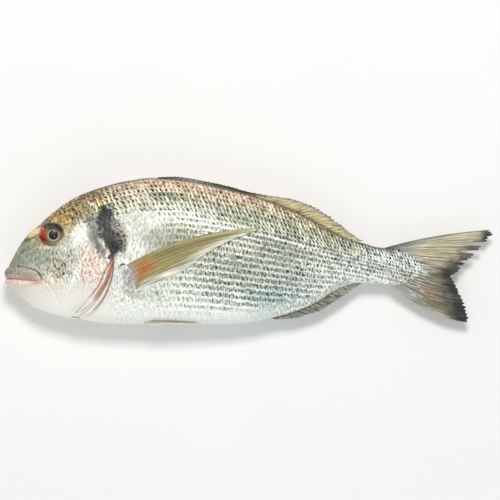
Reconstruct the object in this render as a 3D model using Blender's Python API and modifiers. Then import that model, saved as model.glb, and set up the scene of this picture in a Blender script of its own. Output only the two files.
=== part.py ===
"""A whole gilthead sea bream of 32 cm, lying on its right flank.

X runs from the snout (-X) to the tail (+X), Y from the belly (-Y) to the back (+Y) and Z up,
out of the left flank. The surface that the fish lies on is Z = 0. Units are metres.
"""
from math import asin, cos, pi, sin, sqrt

import bmesh
import bpy
from mathutils import Vector

# Driving dimensions of the body. Each line lists (x, value) from snout to tail.
BACK_LINE = (
    (-0.1600, -0.0155), (-0.1595, -0.0128), (-0.1576, -0.0087), (-0.1515, 0.0028),
    (-0.1451, 0.0111), (-0.1378, 0.0172), (-0.1295, 0.0247), (-0.1200, 0.0315),
    (-0.1096, 0.0372), (-0.0961, 0.0420), (-0.0803, 0.0456), (-0.0640, 0.0476),
    (-0.0490, 0.0470), (-0.0334, 0.0447), (-0.0177, 0.0412), (0.0000, 0.0367),
    (0.0150, 0.0316), (0.0280, 0.0264), (0.0440, 0.0183), (0.0606, 0.0095),
    (0.0736, 0.0051), (0.0867, 0.0018), (0.0980, 0.0022), (0.1070, 0.0018),
)
BELLY_LINE = (
    (-0.1600, -0.0205), (-0.1590, -0.0222), (-0.1555, -0.0252), (-0.1430, -0.0359),
    (-0.1305, -0.0411), (-0.1181, -0.0437), (-0.0908, -0.0474), (-0.0598, -0.0480),
    (-0.0198, -0.0480), (0.0000, -0.0467), (0.0149, -0.0435), (0.0313, -0.0390),
    (0.0454, -0.0325), (0.0552, -0.0262), (0.0627, -0.0228), (0.0715, -0.0210),
    (0.0850, -0.0213), (0.0980, -0.0238), (0.1070, -0.0262),
)
HALF_WIDTH = (
    (-0.1600, 0.0030), (-0.1585, 0.0050), (-0.1550, 0.0072), (-0.1490, 0.0094),
    (-0.1400, 0.0124), (-0.1280, 0.0152), (-0.1120, 0.0182), (-0.0950, 0.0200),
    (-0.0720, 0.0206), (-0.0450, 0.0202), (-0.0150, 0.0186), (0.0150, 0.0154),
    (0.0450, 0.0112), (0.0700, 0.0072), (0.0870, 0.0052), (0.0980, 0.0037),
    (0.1070, 0.0020),
)
MID_PLANE = (
    (-0.1600, 0.0182), (-0.1200, 0.0186), (-0.0700, 0.0186), (-0.0300, 0.0182),
    (0.0100, 0.0164), (0.0500, 0.0142), (0.0870, 0.0126), (0.1070, 0.0118),
    (0.1600, 0.0094),
)
WIDEST_DROP = 0.06         # how far below mid-height a section is widest, of its half height
SECTION_POWER = 1.05       # 1 is an ellipse, and more pinches the back and the belly
TAIL_BULGE = 0.006         # how far the scaled skin runs out over the middle of the tail fin
TAIL_BULGE_START = 0.086

# Sampling of the body's loft
STATIONS = 58
AROUND = 40
FRONT_CROWDING = 0.80      # 0 spaces the sections evenly, and 1 crowds them at the snout

GAP = 0.00035              # clearance between pieces that touch on the fish

# Eyes, mouth and gill slits
EYE_PLACE = (-0.1284, 0.0103)
EYE_RADIUS = 0.0068
EYE_HALF_DEPTH = 0.0048
EYE_STAND_OUT = 0.0012     # how far the cornea stands out of the head
MOUTH_CORNER_X = -0.1362
MOUTH_Y = -0.0190
MOUTH_OPENING = 0.0007
GILL_EDGE = (
    (-0.1012, 0.0283), (-0.0993, 0.0210), (-0.0974, 0.0130), (-0.0934, 0.0043),
    (-0.0899, -0.0027), (-0.0895, -0.0140), (-0.0925, -0.0240), (-0.0966, -0.0320),
    (-0.1021, -0.0381), (-0.1075, -0.0408),
)
GILL_SLIT_RADIUS = 0.0006

# Fins. Heights are above the back or below the belly, outlines are (x, y).
DORSAL_HEIGHT = (
    (-0.0620, 0.0004), (-0.0560, 0.0012), (-0.0400, 0.0019), (-0.0177, 0.0020),
    (0.0000, 0.0020), (0.0096, 0.0030), (0.0313, 0.0080), (0.0454, 0.0092),
    (0.0585, 0.0078), (0.0725, 0.0012),
)
ANAL_HEIGHT = (
    (0.0149, 0.0004), (0.0280, 0.0048), (0.0400, 0.0066), (0.0541, 0.0074),
    (0.0627, 0.0050), (0.0715, 0.0006),
)
MIDLINE_FIN_THICKNESS = 0.0012
MIDLINE_FIN_STEPS = 32
CAUDAL_UPPER_EDGE = ((0.0930, 0.0031), (0.1050, 0.0054), (0.1301, 0.0108), (0.1542, 0.0136),
                     (0.1600, 0.0123))
CAUDAL_LOWER_EDGE = ((0.0950, -0.0240), (0.1001, -0.0272), (0.1151, -0.0372), (0.1301, -0.0451),
                     (0.1428, -0.0468))
CAUDAL_TRAILING_EDGE = ((0.1600, 0.0123), (0.1551, 0.0070), (0.1485, -0.0010),
                        (0.1391, -0.0106), (0.1315, -0.0165), (0.1361, -0.0247),
                        (0.1416, -0.0362), (0.1428, -0.0468))
CAUDAL_THICKNESS = 0.0010
CAUDAL_RAYS = 24
CAUDAL_STEPS = 12
PECTORAL_TOP_EDGE = ((-0.0830, -0.0110), (-0.0699, -0.0041), (-0.0543, 0.0038),
                     (-0.0386, 0.0085), (-0.0177, 0.0127), (0.0000, 0.0152), (0.0095, 0.0146))
PECTORAL_BOTTOM_EDGE = ((-0.0790, -0.0265), (-0.0647, -0.0202), (-0.0490, -0.0160),
                        (-0.0336, -0.0077), (-0.0179, 0.0030), (0.0000, 0.0108),
                        (0.0095, 0.0134))
PECTORAL_THICKNESS = 0.0008
PECTORAL_STEPS = (26, 6)
PELVIC_ROOT_X = -0.0690
PELVIC_TIP_X = -0.0310
PELVIC_OUTER_ANGLE = (-1.19, -1.33)   # root and tip, round the body from its mid-height
PELVIC_INNER_ANGLE = (-1.50, -1.40)
PELVIC_THICKNESS = 0.0008
PELVIC_STEPS = (16, 4)

LEFT, RIGHT = 1, -1        # the left flank faces up

# Colours: linear red, green and blue, then roughness
SKIN = ((0.52, 0.54, 0.47), 0.30)
EYE = ((0.10, 0.12, 0.13), 0.08)
FIN = ((0.36, 0.30, 0.17), 0.45)


def clear_scene():
    for old in list(bpy.data.objects):
        bpy.data.objects.remove(old, do_unlink=True)


def make_collection(name):
    collection = bpy.data.collections.new(name)
    bpy.context.scene.collection.children.link(collection)
    return collection


def make_material(name, finish):
    colour, roughness = finish
    material = bpy.data.materials.new(name)
    material.use_nodes = True
    shader = material.node_tree.nodes["Principled BSDF"]
    shader.inputs["Base Color"].default_value = (*colour, 1.0)
    shader.inputs["Roughness"].default_value = roughness
    shader.inputs["Metallic"].default_value = 0.0
    return material


def smooth_line(points):
    """A function through the points that never overshoots them (monotone cubic)."""
    xs = [p[0] for p in points]
    ys = [p[1] for p in points]
    slopes = [(ys[i + 1] - ys[i]) / (xs[i + 1] - xs[i]) for i in range(len(xs) - 1)]
    tangents = [slopes[0]]
    for before, after in zip(slopes, slopes[1:]):
        same_way = before * after > 0
        tangents.append(2 * before * after / (before + after) if same_way else 0.0)
    tangents.append(slopes[-1])

    def value(x):
        x = min(max(x, xs[0]), xs[-1])
        i = 0
        while i < len(xs) - 2 and x > xs[i + 1]:
            i += 1
        span = xs[i + 1] - xs[i]
        t = (x - xs[i]) / span
        return ((1 + 2 * t) * (1 - t) ** 2 * ys[i] + t * (1 - t) ** 2 * span * tangents[i]
                + t * t * (3 - 2 * t) * ys[i + 1] + t * t * (t - 1) * span * tangents[i + 1])

    return value


back_y = smooth_line(BACK_LINE)
belly_y = smooth_line(BELLY_LINE)
half_width = smooth_line(HALF_WIDTH)
mid_z = smooth_line(MID_PLANE)


def path_point(points, share):
    """The point at a share of the way along a broken line, smoothed between its corners."""
    lengths = [0.0]
    for a, b in zip(points, points[1:]):
        lengths.append(lengths[-1] + sqrt((b[0] - a[0]) ** 2 + (b[1] - a[1]) ** 2))
    along = share * lengths[-1]
    x = smooth_line([(at, p[0]) for at, p in zip(lengths, points)])(along)
    y = smooth_line([(at, p[1]) for at, p in zip(lengths, points)])(along)
    return x, y


def section_middle(x):
    """Centre height and half height of the body's section at x."""
    top, bottom = back_y(x), belly_y(x)
    return (top + bottom) / 2, (top - bottom) / 2


def skin_point(x, angle, side):
    """A point of the body's skin: angle is -90 degrees at the belly and 90 at the back."""
    middle, half_height = section_middle(x)
    y = middle + half_height * (sin(angle) - WIDEST_DROP * cos(angle) ** 2)
    width = half_width(x) * max(cos(angle), 0.0) ** SECTION_POWER
    reach = max(x - TAIL_BULGE_START, 0.0) / (BACK_LINE[-1][0] - TAIL_BULGE_START)
    bulge = TAIL_BULGE * reach * reach * cos(angle) ** 2
    return Vector((x + bulge, y, mid_z(x) + side * width))


def lifted_point(x, angle, side, lift):
    """A point that stands off the skin by lift, along the skin's normal."""
    step = 0.0005
    along = skin_point(x + step, angle, side) - skin_point(x - step, angle, side)
    round_it = skin_point(x, angle + 0.01, side) - skin_point(x, angle - 0.01, side)
    normal = along.cross(round_it).normalized()
    return skin_point(x, angle, side) + normal * (lift * side)


def angle_at(x, y):
    """The angle round the section at x where the skin is at height y."""
    middle, half_height = section_middle(x)
    t = (y - middle) / half_height
    k = WIDEST_DROP
    s = (-1 + sqrt(max(1 + 4 * k * (t + k), 0.0))) / (2 * k)
    return asin(min(max(s, -0.9999), 0.9999))


def grid_faces(bm, rows):
    """Quads between neighbouring rows of vertices."""
    for row, following in zip(rows, rows[1:]):
        for j in range(len(row) - 1):
            bm.faces.new((row[j], row[j + 1], following[j + 1], following[j]))


def finish_object(name, bm, collection, material):
    mesh = bpy.data.meshes.new(name)
    bmesh.ops.recalc_face_normals(bm, faces=bm.faces)
    bm.to_mesh(mesh)
    bm.free()
    mesh.shade_smooth()
    obj = bpy.data.objects.new(name, mesh)
    collection.objects.link(obj)
    if material:
        mesh.materials.append(material)
    return obj


def make_sheet(name, rows, thickness, collection, material):
    """A thin piece: an open surface through rows of points, thickened to both sides."""
    bm = bmesh.new()
    grid_faces(bm, [[bm.verts.new(p) for p in row] for row in rows])
    obj = finish_object(name, bm, collection, material)
    solidify = obj.modifiers.new("thickness", "SOLIDIFY")
    solidify.thickness = thickness
    solidify.offset = 0.0
    return obj


def make_cutter(obj, collection):
    obj.hide_render = True
    obj.display_type = "WIRE"
    for old in list(obj.users_collection):
        old.objects.unlink(obj)
    collection.objects.link(obj)


def cut(obj, cutter):
    boolean = obj.modifiers.new("cut " + cutter.name, "BOOLEAN")
    boolean.operation = "DIFFERENCE"
    boolean.solver = "EXACT"
    boolean.object = cutter


def station_x(i):
    share = i / (STATIONS - 1)
    share = FRONT_CROWDING * share * share + (1 - FRONT_CROWDING) * share
    return BACK_LINE[0][0] + share * (BACK_LINE[-1][0] - BACK_LINE[0][0])


def make_body(collection, material):
    """Head, trunk and tail stalk: a loft whose lower flank is pressed flat where it lies."""
    bm = bmesh.new()
    half = AROUND // 2
    rings = []
    for i in range(STATIONS):
        x = station_x(i)
        left = [skin_point(x, -pi / 2 + pi * j / half, LEFT) for j in range(half + 1)]
        right = [skin_point(x, pi / 2 - pi * j / half, RIGHT) for j in range(1, half)]
        ring = left + right
        for point in ring:
            point.z = max(point.z, 0.0)
        rings.append([bm.verts.new(point) for point in ring])
    for ring, following in zip(rings, rings[1:]):
        for j in range(AROUND):
            k = (j + 1) % AROUND
            bm.faces.new((ring[j], ring[k], following[k], following[j]))
    for ring in (rings[0], rings[-1]):
        across = [(ring[j], ring[-j % AROUND]) for j in range(half + 1)]
        for (a, b), (c, d) in zip(across, across[1:]):
            corners = [v for n, v in enumerate((a, c, d, b)) if v not in (a, c, d, b)[:n]]
            bm.faces.new(corners)
    return finish_object("body", bm, collection, material)


def add_spheroid(name, centre, radius, half_depth, collection, material):
    bm = bmesh.new()
    bmesh.ops.create_uvsphere(bm, u_segments=24, v_segments=16, radius=1.0)
    for vert in bm.verts:
        vert.co = Vector((vert.co.x * radius, vert.co.y * radius, vert.co.z * half_depth))
    obj = finish_object(name, bm, collection, material)
    obj.location = centre
    return obj


def make_eye(name, side, body, parts, cutters, material):
    """An eyeball flattened between the flanks, in a socket with a small clearance."""
    x, y = EYE_PLACE
    surface = skin_point(x, angle_at(x, y), side)
    centre = surface + Vector((0, 0, side * (EYE_STAND_OUT - EYE_HALF_DEPTH)))
    add_spheroid(name, centre, EYE_RADIUS, EYE_HALF_DEPTH, parts, material)
    socket = add_spheroid(name + "_socket", centre, EYE_RADIUS + GAP, EYE_HALF_DEPTH + GAP,
                          cutters, None)
    make_cutter(socket, cutters)
    cut(body, socket)


def cut_mouth(body, cutters):
    """The slit between the jaws, from the front of the lips back to their corners."""
    front, back = BACK_LINE[0][0] - 0.004, MOUTH_CORNER_X
    bm = bmesh.new()
    bmesh.ops.create_cube(bm, size=1.0)
    for vert in bm.verts:
        closing = 1.0 if vert.co.x < 0 else 0.3
        vert.co.x = front if vert.co.x < 0 else back
        vert.co.y = MOUTH_Y + vert.co.y * MOUTH_OPENING * closing
        vert.co.z = mid_z(back) + vert.co.z * 0.06
    slit = finish_object("mouth_slit", bm, cutters, None)
    make_cutter(slit, cutters)
    cut(body, slit)


def cut_gill(name, side, body, cutters):
    """The groove under the free edge of a gill cover: a thin tube along that edge."""
    count = 22
    spine = bpy.data.curves.new(name, "CURVE")
    spine.dimensions = "3D"
    spine.bevel_depth = GILL_SLIT_RADIUS
    spine.bevel_resolution = 1
    spine.use_fill_caps = True
    line = spine.splines.new("POLY")
    line.points.add(count - 1)
    for i in range(count):
        x, y = path_point(GILL_EDGE, i / (count - 1))
        line.points[i].co = (*skin_point(x, angle_at(x, y), side), 1.0)
    tube = bpy.data.objects.new(name, spine)
    cutters.objects.link(tube)
    bpy.context.view_layer.update()
    depsgraph = bpy.context.evaluated_depsgraph_get()
    mesh = bpy.data.meshes.new_from_object(tube.evaluated_get(depsgraph))
    bm = bmesh.new()
    bm.from_mesh(mesh)
    bmesh.ops.remove_doubles(bm, verts=bm.verts, dist=0.00002)
    slit = finish_object(name + "_mesh", bm, cutters, None)
    bpy.data.objects.remove(tube, do_unlink=True)
    make_cutter(slit, cutters)
    cut(body, slit)


def make_midline_fin(name, heights, edge, outward, parts, material):
    """A fin that stands on the back (outward +1) or the belly (outward -1)."""
    height = smooth_line(heights)
    first, last = heights[0][0], heights[-1][0]
    rows = []
    for i in range(MIDLINE_FIN_STEPS + 1):
        x = first + (last - first) * i / MIDLINE_FIN_STEPS
        base = edge(x) + outward * GAP
        rows.append([Vector((x, base + outward * height(x) * share, mid_z(x)))
                     for share in (0.0, 0.5, 1.0)])
    return make_sheet(name, rows, MIDLINE_FIN_THICKNESS, parts, material)


def caudal_root(share):
    """Where a tail ray leaves the skin: round the end of the tail stalk, top to bottom."""
    end = BACK_LINE[-1][0]
    if share < 0.12:
        x = 0.0935 + (end - 0.0935) * share / 0.12
        return x, back_y(x) + GAP
    if share > 0.88:
        x = 0.0955 + (end - 0.0955) * (1 - share) / 0.12
        return x, belly_y(x) - GAP
    t = (0.5 - share) / 0.38
    middle, half_height = section_middle(end)
    return end + GAP + TAIL_BULGE * (1 - t * t), middle + (half_height + GAP) * t


def make_caudal_fin(parts, material):
    """The forked tail: rays from the end of the stalk, bowed along its two outer edges."""
    rows = []
    for i in range(CAUDAL_RAYS + 1):
        share = i / CAUDAL_RAYS
        root = caudal_root(share)
        tip = path_point(CAUDAL_TRAILING_EDGE, share)
        row = []
        for j in range(CAUDAL_STEPS + 1):
            t = j / CAUDAL_STEPS
            straight = [root[n] + (tip[n] - root[n]) * t for n in (0, 1)]
            upper = path_point(CAUDAL_UPPER_EDGE, t)
            lower = path_point(CAUDAL_LOWER_EDGE, t)
            pull_up = max(1 - 2.2 * share, 0.0) ** 1.5 * min(4 * t, 1.0)
            pull_down = max(2.2 * share - 1.2, 0.0) ** 1.5 * min(4 * t, 1.0)
            stay = 1 - pull_up - pull_down
            x, y = (straight[n] * stay + upper[n] * pull_up + lower[n] * pull_down
                    for n in (0, 1))
            row.append(Vector((x, y, mid_z(x))))
        rows.append(row)
    return make_sheet("caudal_fin", rows, CAUDAL_THICKNESS, parts, material)


def pectoral_outline(along, across):
    """(x, y) on a pectoral fin: along from root to tip, across from top to bottom edge."""
    top = path_point(PECTORAL_TOP_EDGE, along)
    bottom = path_point(PECTORAL_BOTTOM_EDGE, along)
    return [top[n] + (bottom[n] - top[n]) * across for n in (0, 1)]


def make_pectoral_fin(name, side, parts, material):
    """A long pointed fin folded back flat along the flank, pressed level under the fish."""
    steps_along, steps_across = PECTORAL_STEPS
    centre_lift = GAP + PECTORAL_THICKNESS / 2
    rows = []
    for i in range(steps_along + 1):
        row = []
        for j in range(steps_across + 1):
            x, y = pectoral_outline(i / steps_along, j / steps_across)
            point = lifted_point(x, angle_at(x, y), side, centre_lift)
            point.z = max(point.z, PECTORAL_THICKNESS / 2)
            row.append(point)
        rows.append(row)
    return make_sheet(name, rows, PECTORAL_THICKNESS, parts, material)


def cut_pectoral_hollow(body, cutters):
    """The flesh gives way to the fin that it lies on: a flat hollow round the right fin."""
    steps = 20
    around = [Vector(pectoral_outline(i / steps, 0.0)) for i in range(steps + 1)]
    around += [Vector(pectoral_outline(1 - i / steps, 1.0)) for i in range(steps + 1)]
    bm = bmesh.new()
    top = PECTORAL_THICKNESS + GAP
    rim = []
    for before, here, after in zip(around[-1:] + around, around, around[1:] + around[:1]):
        along = (after - before).normalized()
        outward = Vector((-along.y, along.x)) * 2 * GAP
        rim.append(bm.verts.new((here.x + outward.x, here.y + outward.y, -0.001)))
    floor = bm.faces.new(rim)
    raised = bmesh.ops.extrude_face_region(bm, geom=[floor])["geom"]
    for vert in raised:
        if isinstance(vert, bmesh.types.BMVert):
            vert.co.z = top
    hollow = finish_object("pectoral_hollow", bm, cutters, None)
    make_cutter(hollow, cutters)
    cut(body, hollow)


def make_pelvic_fin(name, side, parts, material):
    """A narrow fin folded back against the belly, its spine on the outer edge."""
    steps_along, steps_across = PELVIC_STEPS
    rows = []
    for i in range(steps_along + 1):
        t = i / steps_along
        x = PELVIC_ROOT_X + (PELVIC_TIP_X - PELVIC_ROOT_X) * t
        outer = PELVIC_OUTER_ANGLE[0] + (PELVIC_OUTER_ANGLE[1] - PELVIC_OUTER_ANGLE[0]) * t
        inner = PELVIC_INNER_ANGLE[0] + (PELVIC_INNER_ANGLE[1] - PELVIC_INNER_ANGLE[0]) * t
        rows.append([lifted_point(x, outer + (inner - outer) * j / steps_across, side,
                                  GAP + PELVIC_THICKNESS / 2)
                     for j in range(steps_across + 1)])
    return make_sheet(name, rows, PELVIC_THICKNESS, parts, material)


def main():
    clear_scene()
    parts = make_collection("sea_bream")
    cutters = make_collection("sea_bream_cutters")
    skin = make_material("wet_scaled_skin", SKIN)
    eye = make_material("clear_wet_eye", EYE)
    fin = make_material("ray_and_membrane", FIN)

    body = make_body(parts, skin)
    make_eye("eye_left", LEFT, body, parts, cutters, eye)
    make_eye("eye_right", RIGHT, body, parts, cutters, eye)
    cut_mouth(body, cutters)
    cut_gill("gill_slit_left", LEFT, body, cutters)
    cut_gill("gill_slit_right", RIGHT, body, cutters)
    cut_pectoral_hollow(body, cutters)

    make_midline_fin("dorsal_fin", DORSAL_HEIGHT, back_y, 1, parts, fin)
    make_midline_fin("anal_fin", ANAL_HEIGHT, belly_y, -1, parts, fin)
    make_caudal_fin(parts, fin)
    make_pectoral_fin("pectoral_fin_left", LEFT, parts, fin)
    make_pectoral_fin("pectoral_fin_right", RIGHT, parts, fin)
    make_pelvic_fin("pelvic_fin_left", LEFT, parts, fin)
    make_pelvic_fin("pelvic_fin_right", RIGHT, parts, fin)


main()
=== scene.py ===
# A whole gilthead sea bream on its right flank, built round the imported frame.
# Lengths are in millimetres until a mesh is made. X: snout to tail, Y: belly to back, Z: up.
import math
import bpy
import numpy as np
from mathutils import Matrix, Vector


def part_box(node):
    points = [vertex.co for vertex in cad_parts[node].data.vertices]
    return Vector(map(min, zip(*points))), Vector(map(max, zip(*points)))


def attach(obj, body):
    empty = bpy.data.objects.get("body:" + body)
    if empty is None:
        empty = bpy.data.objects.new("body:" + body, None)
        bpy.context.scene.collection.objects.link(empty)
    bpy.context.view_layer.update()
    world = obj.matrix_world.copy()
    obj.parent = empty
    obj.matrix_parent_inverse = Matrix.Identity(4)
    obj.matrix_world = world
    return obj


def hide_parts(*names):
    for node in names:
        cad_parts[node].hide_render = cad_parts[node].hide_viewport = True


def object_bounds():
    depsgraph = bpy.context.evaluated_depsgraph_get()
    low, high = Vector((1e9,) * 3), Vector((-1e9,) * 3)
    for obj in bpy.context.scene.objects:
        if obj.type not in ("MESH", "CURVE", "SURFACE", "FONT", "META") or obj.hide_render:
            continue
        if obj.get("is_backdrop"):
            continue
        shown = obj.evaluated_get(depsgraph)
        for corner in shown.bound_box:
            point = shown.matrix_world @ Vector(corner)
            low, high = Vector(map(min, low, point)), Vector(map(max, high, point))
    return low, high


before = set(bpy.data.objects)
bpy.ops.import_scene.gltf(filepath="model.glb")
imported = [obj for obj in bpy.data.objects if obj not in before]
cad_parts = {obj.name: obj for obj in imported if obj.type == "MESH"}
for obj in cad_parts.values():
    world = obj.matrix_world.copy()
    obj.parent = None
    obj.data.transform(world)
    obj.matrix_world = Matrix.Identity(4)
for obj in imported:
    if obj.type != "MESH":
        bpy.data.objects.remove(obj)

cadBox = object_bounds()
mm = 0.001
left, right = 1, -1
print("frame loaded:", sorted(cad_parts))


def linearColour(hexText):
    # sRGB hex to linear red, green, blue
    parts = [int(hexText[i:i + 2], 16) / 255 for i in (1, 3, 5)]
    return np.array([c / 12.92 if c <= 0.04045 else ((c + 0.055) / 1.055) ** 2.4 for c in parts])


def laidOver(colour, tone, amount):
    # colours with a tone laid over them, by an array of amounts from 0 to 1
    amount = np.asarray(amount)[..., None]
    return colour * (1 - amount) + linearColour(tone) * amount


def ramp(low, high, value):
    # 0 at low, 1 at high and smooth between, whichever of the two is larger
    t = np.clip((value - low) / (high - low), 0.0, 1.0)
    return t * t * (3 - 2 * t)


def readStops(value, stops):
    # colours read off a row of (place, colour) stops
    tones = np.array([linearColour(c) for _, c in stops])
    at = [place for place, _ in stops]
    return np.stack([np.interp(value, at, tones[:, n]) for n in range(3)], -1)


def opaque(colour):
    # the same colours with an alpha of 1
    return np.concatenate([np.clip(colour, 0, 1), np.ones_like(colour[..., :1])], -1)


def between(start, end, share):
    return start + (end - start) * share


def hump(value, centre, width):
    # a bell curve, 1 at its centre
    return np.exp(-((value - centre) / width) ** 2)


def spread(x, y, cx, cy, rx, ry):
    # squared distance from a centre, counted in an oval's two radii
    return ((x - cx) / rx) ** 2 + ((y - cy) / ry) ** 2


def curveThrough(points):
    # monotone cubic through (x, y) points: never overshoots, flat past both ends
    px, py = np.array(points, float).T
    slope = np.diff(py) / np.diff(px)
    tangent = np.zeros_like(py)
    tangent[0], tangent[-1] = slope[0], slope[-1]
    sameWay = slope[:-1] * slope[1:] > 0
    total = np.where(sameWay, slope[:-1] + slope[1:], 1.0)
    tangent[1:-1] = np.where(sameWay, 2 * slope[:-1] * slope[1:] / total, 0.0)

    def value(x):
        x = np.clip(x, px[0], px[-1])
        i = np.clip(np.searchsorted(px, x, side="right") - 1, 0, len(px) - 2)
        span = px[i + 1] - px[i]
        t = (x - px[i]) / span
        return ((1 + 2 * t) * (1 - t) ** 2 * py[i] + t * (1 - t) ** 2 * span * tangent[i] + t * t
                * (3 - 2 * t) * py[i + 1] + t * t * (t - 1) * span * tangent[i + 1])

    return value


def along(points, share):
    # the point at a share of the way along a smoothed line, for arrays of shares
    pts = np.array(points, float)
    steps = np.hypot(*np.diff(pts, axis=0).T)
    at = np.concatenate([[0], np.cumsum(steps)]) / steps.sum()
    return [curveThrough(np.stack([at, pts[:, n]], 1))(share) for n in range(pts.shape[1])]


def lineDistance(x, y, points):
    # distance to a broken line, and the share of the way along it of the nearest point
    pts = np.array(points, float)
    lengths = np.hypot(*np.diff(pts, axis=0).T)
    best, share = np.full(np.shape(x), 1e9), np.zeros(np.shape(x))
    start = 0.0
    for (ax, ay), (bx, by), length in zip(pts[:-1], pts[1:], lengths):
        t = np.clip(((x - ax) * (bx - ax) + (y - ay) * (by - ay)) / length ** 2, 0, 1)
        d = np.hypot(x - ax - t * (bx - ax), y - ay - t * (by - ay))
        nearer = d < best
        best = np.where(nearer, d, best)
        share = np.where(nearer, (start + t * length) / lengths.sum(), share)
        start += length
    return best, share


def softNoise(x, y, size, seed):
    # smooth random field between -1 and 1, with bumps about size wide
    table = np.random.RandomState(seed).uniform(-1, 1, (64, 64))
    u, v = x / size, y / size
    iu, iv = np.floor(u).astype(int), np.floor(v).astype(int)
    fu, fv = u - iu, v - iv
    fu, fv = fu * fu * (3 - 2 * fu), fv * fv * (3 - 2 * fv)
    corner = lambda a, b: table[(iu + a) % 64, (iv + b) % 64]
    return ((corner(0, 0) * (1 - fu) + corner(1, 0) * fu) * (1 - fv)
            + (corner(0, 1) * (1 - fu) + corner(1, 1) * fu) * fv)


def meshPiece(name, points, quads, normals=None, uvs=None, colours=None):
    # a mesh object from arrays; uvs and colours are dictionaries of per-vertex arrays
    mesh = bpy.data.meshes.new(name)
    mesh.vertices.add(len(points))
    mesh.vertices.foreach_set("co", (np.asarray(points) * mm).astype(np.float32).ravel())
    mesh.loops.add(quads.size)
    mesh.loops.foreach_set("vertex_index", quads.astype(np.int32).ravel())
    mesh.polygons.add(len(quads))
    mesh.polygons.foreach_set("loop_start", np.arange(0, quads.size, 4, dtype=np.int32))
    mesh.update(calc_edges=True)
    mesh.shade_smooth()
    for mapName, uv in (uvs or {}).items():
        layer = mesh.uv_layers.new(name=mapName)
        layer.uv.foreach_set("vector", uv[quads.ravel()].astype(np.float32).ravel())
    for layerName, values in (colours or {}).items():
        layer = mesh.color_attributes.new(layerName, "FLOAT_COLOR", "POINT")
        layer.data.foreach_set("color", values.astype(np.float32).ravel())
    if normals is not None:
        mesh.normals_split_custom_set_from_vertices(normals.tolist())
    piece = bpy.data.objects.new(name, mesh)
    bpy.context.scene.collection.objects.link(piece)
    return piece


def gridQuads(columns, rows, wrap=False):
    # corner numbers of the quads of a grid stored column by column
    last = rows if wrap else rows - 1
    i, j = np.meshgrid(np.arange(columns - 1), np.arange(last), indexing="ij")
    k = (j + 1) % rows
    return np.stack([i * rows + j, (i + 1) * rows + j, (i + 1) * rows + k, i * rows + k],
                    -1).reshape(-1, 4)


def startMaterial(name):
    # an empty material, and the function that adds a node to it
    material = bpy.data.materials.new(name)
    material.use_nodes = True
    tree = material.node_tree
    tree.nodes.clear()

    def node(kind, settings=None, *inputs):
        # settings are the node's own properties; inputs fill its sockets in order, or by name where
        # they come in a dictionary. Another node given as an input means its first output
        new = tree.nodes.new("ShaderNode" + kind)
        for key, value in (settings or {}).items():
            setattr(new, key, value)
        for place, given in enumerate(inputs):
            for key, value in (given if isinstance(given, dict) else {place: given}).items():
                if isinstance(value, bpy.types.Node):
                    value = value.outputs[0]
                if isinstance(value, bpy.types.NodeSocket):
                    tree.links.new(value, new.inputs[key])
                else:
                    new.inputs[key].default_value = value
        return new

    return material, node


# settings that many nodes share
add, subtract, times = {"operation": "ADD"}, {"operation": "SUBTRACT"}, {"operation": "MULTIPLY"}
timesAdd, absolute = {"operation": "MULTIPLY_ADD"}, {"operation": "ABSOLUTE"}
larger, scaled = {"operation": "MAXIMUM"}, {"operation": "SCALE"}
smooth, flat = {"interpolation_type": "SMOOTHSTEP"}, {"noise_dimensions": "2D"}


body = {
    # outlines of the whole fish as (x, value), from snout to tail
    "back": [(-160, -15.5), (-159.5, -12.8), (-157.6, -8.7), (-151.5, 2.8), (-145.1, 11.1),
             (-137.8, 17.2), (-129.5, 24.7), (-120, 31.5), (-109.6, 37.2), (-96.1, 42), (-80.3, 45.6),
             (-64, 47.6), (-49, 47), (-33.4, 44.7), (-17.7, 41.2), (0, 36.7), (15, 31.6), (28, 26.4),
             (44, 18.3), (60.6, 9.5), (73.6, 5.1), (86.7, 1.8), (98, 1.9)],
    "belly": [(-160, -20.5), (-159, -22.2), (-155.5, -25.2), (-143, -35.9), (-130.5, -41.1),
              (-118.1, -43.7), (-90.8, -47.4), (-59.8, -48), (-19.8, -48), (0, -46.7), (14.9, -43.5),
              (31.3, -39), (45.4, -32.5), (55.2, -26.2), (62.7, -22.8), (71.5, -21), (85, -21.3),
              (98, -23.8)],
    "halfWidth": [(-160, 3), (-158.5, 5), (-155, 7.2), (-149, 9.4), (-140, 12.4), (-128, 15.2),
                  (-112, 18.2), (-95, 20), (-72, 20.6), (-45, 20.2), (-15, 18.6), (15, 15.4),
                  (45, 11.2), (70, 7.2), (84, 5.4), (91, 3.6), (98, 0.8)],
    "midPlane": [(-160, 18.2), (-120, 18.6), (-70, 18.6), (-30, 18.2), (10, 16.4), (50, 14.2),
                 (87, 12.6), (107, 11.8), (160, 9.4)],
    "widestDrop": 0.06,     # how far below mid height a section is widest, of its half height
    "sectionPower": 1.05,   # 1 is an ellipse, and more pinches the back and the belly
    "deepest": (48, 20.6),  # half height and half width of the deepest section
    "tailBulge": 15.5,      # how far the scaled skin reaches over the root of the tail fin
    "tailBulgeStart": 78.0,
    "upperRows": 236,
    "lowerRows": 150,
    "headColumns": 190,
    "trunkColumns": 440,
}
backY = curveThrough(body["back"])
bellyY = curveThrough(body["belly"])
halfWidth = curveThrough(body["halfWidth"])
midZ = curveThrough(body["midPlane"])
snoutX, stalkEndX = body["back"][0][0], body["back"][-1][0]


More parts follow.
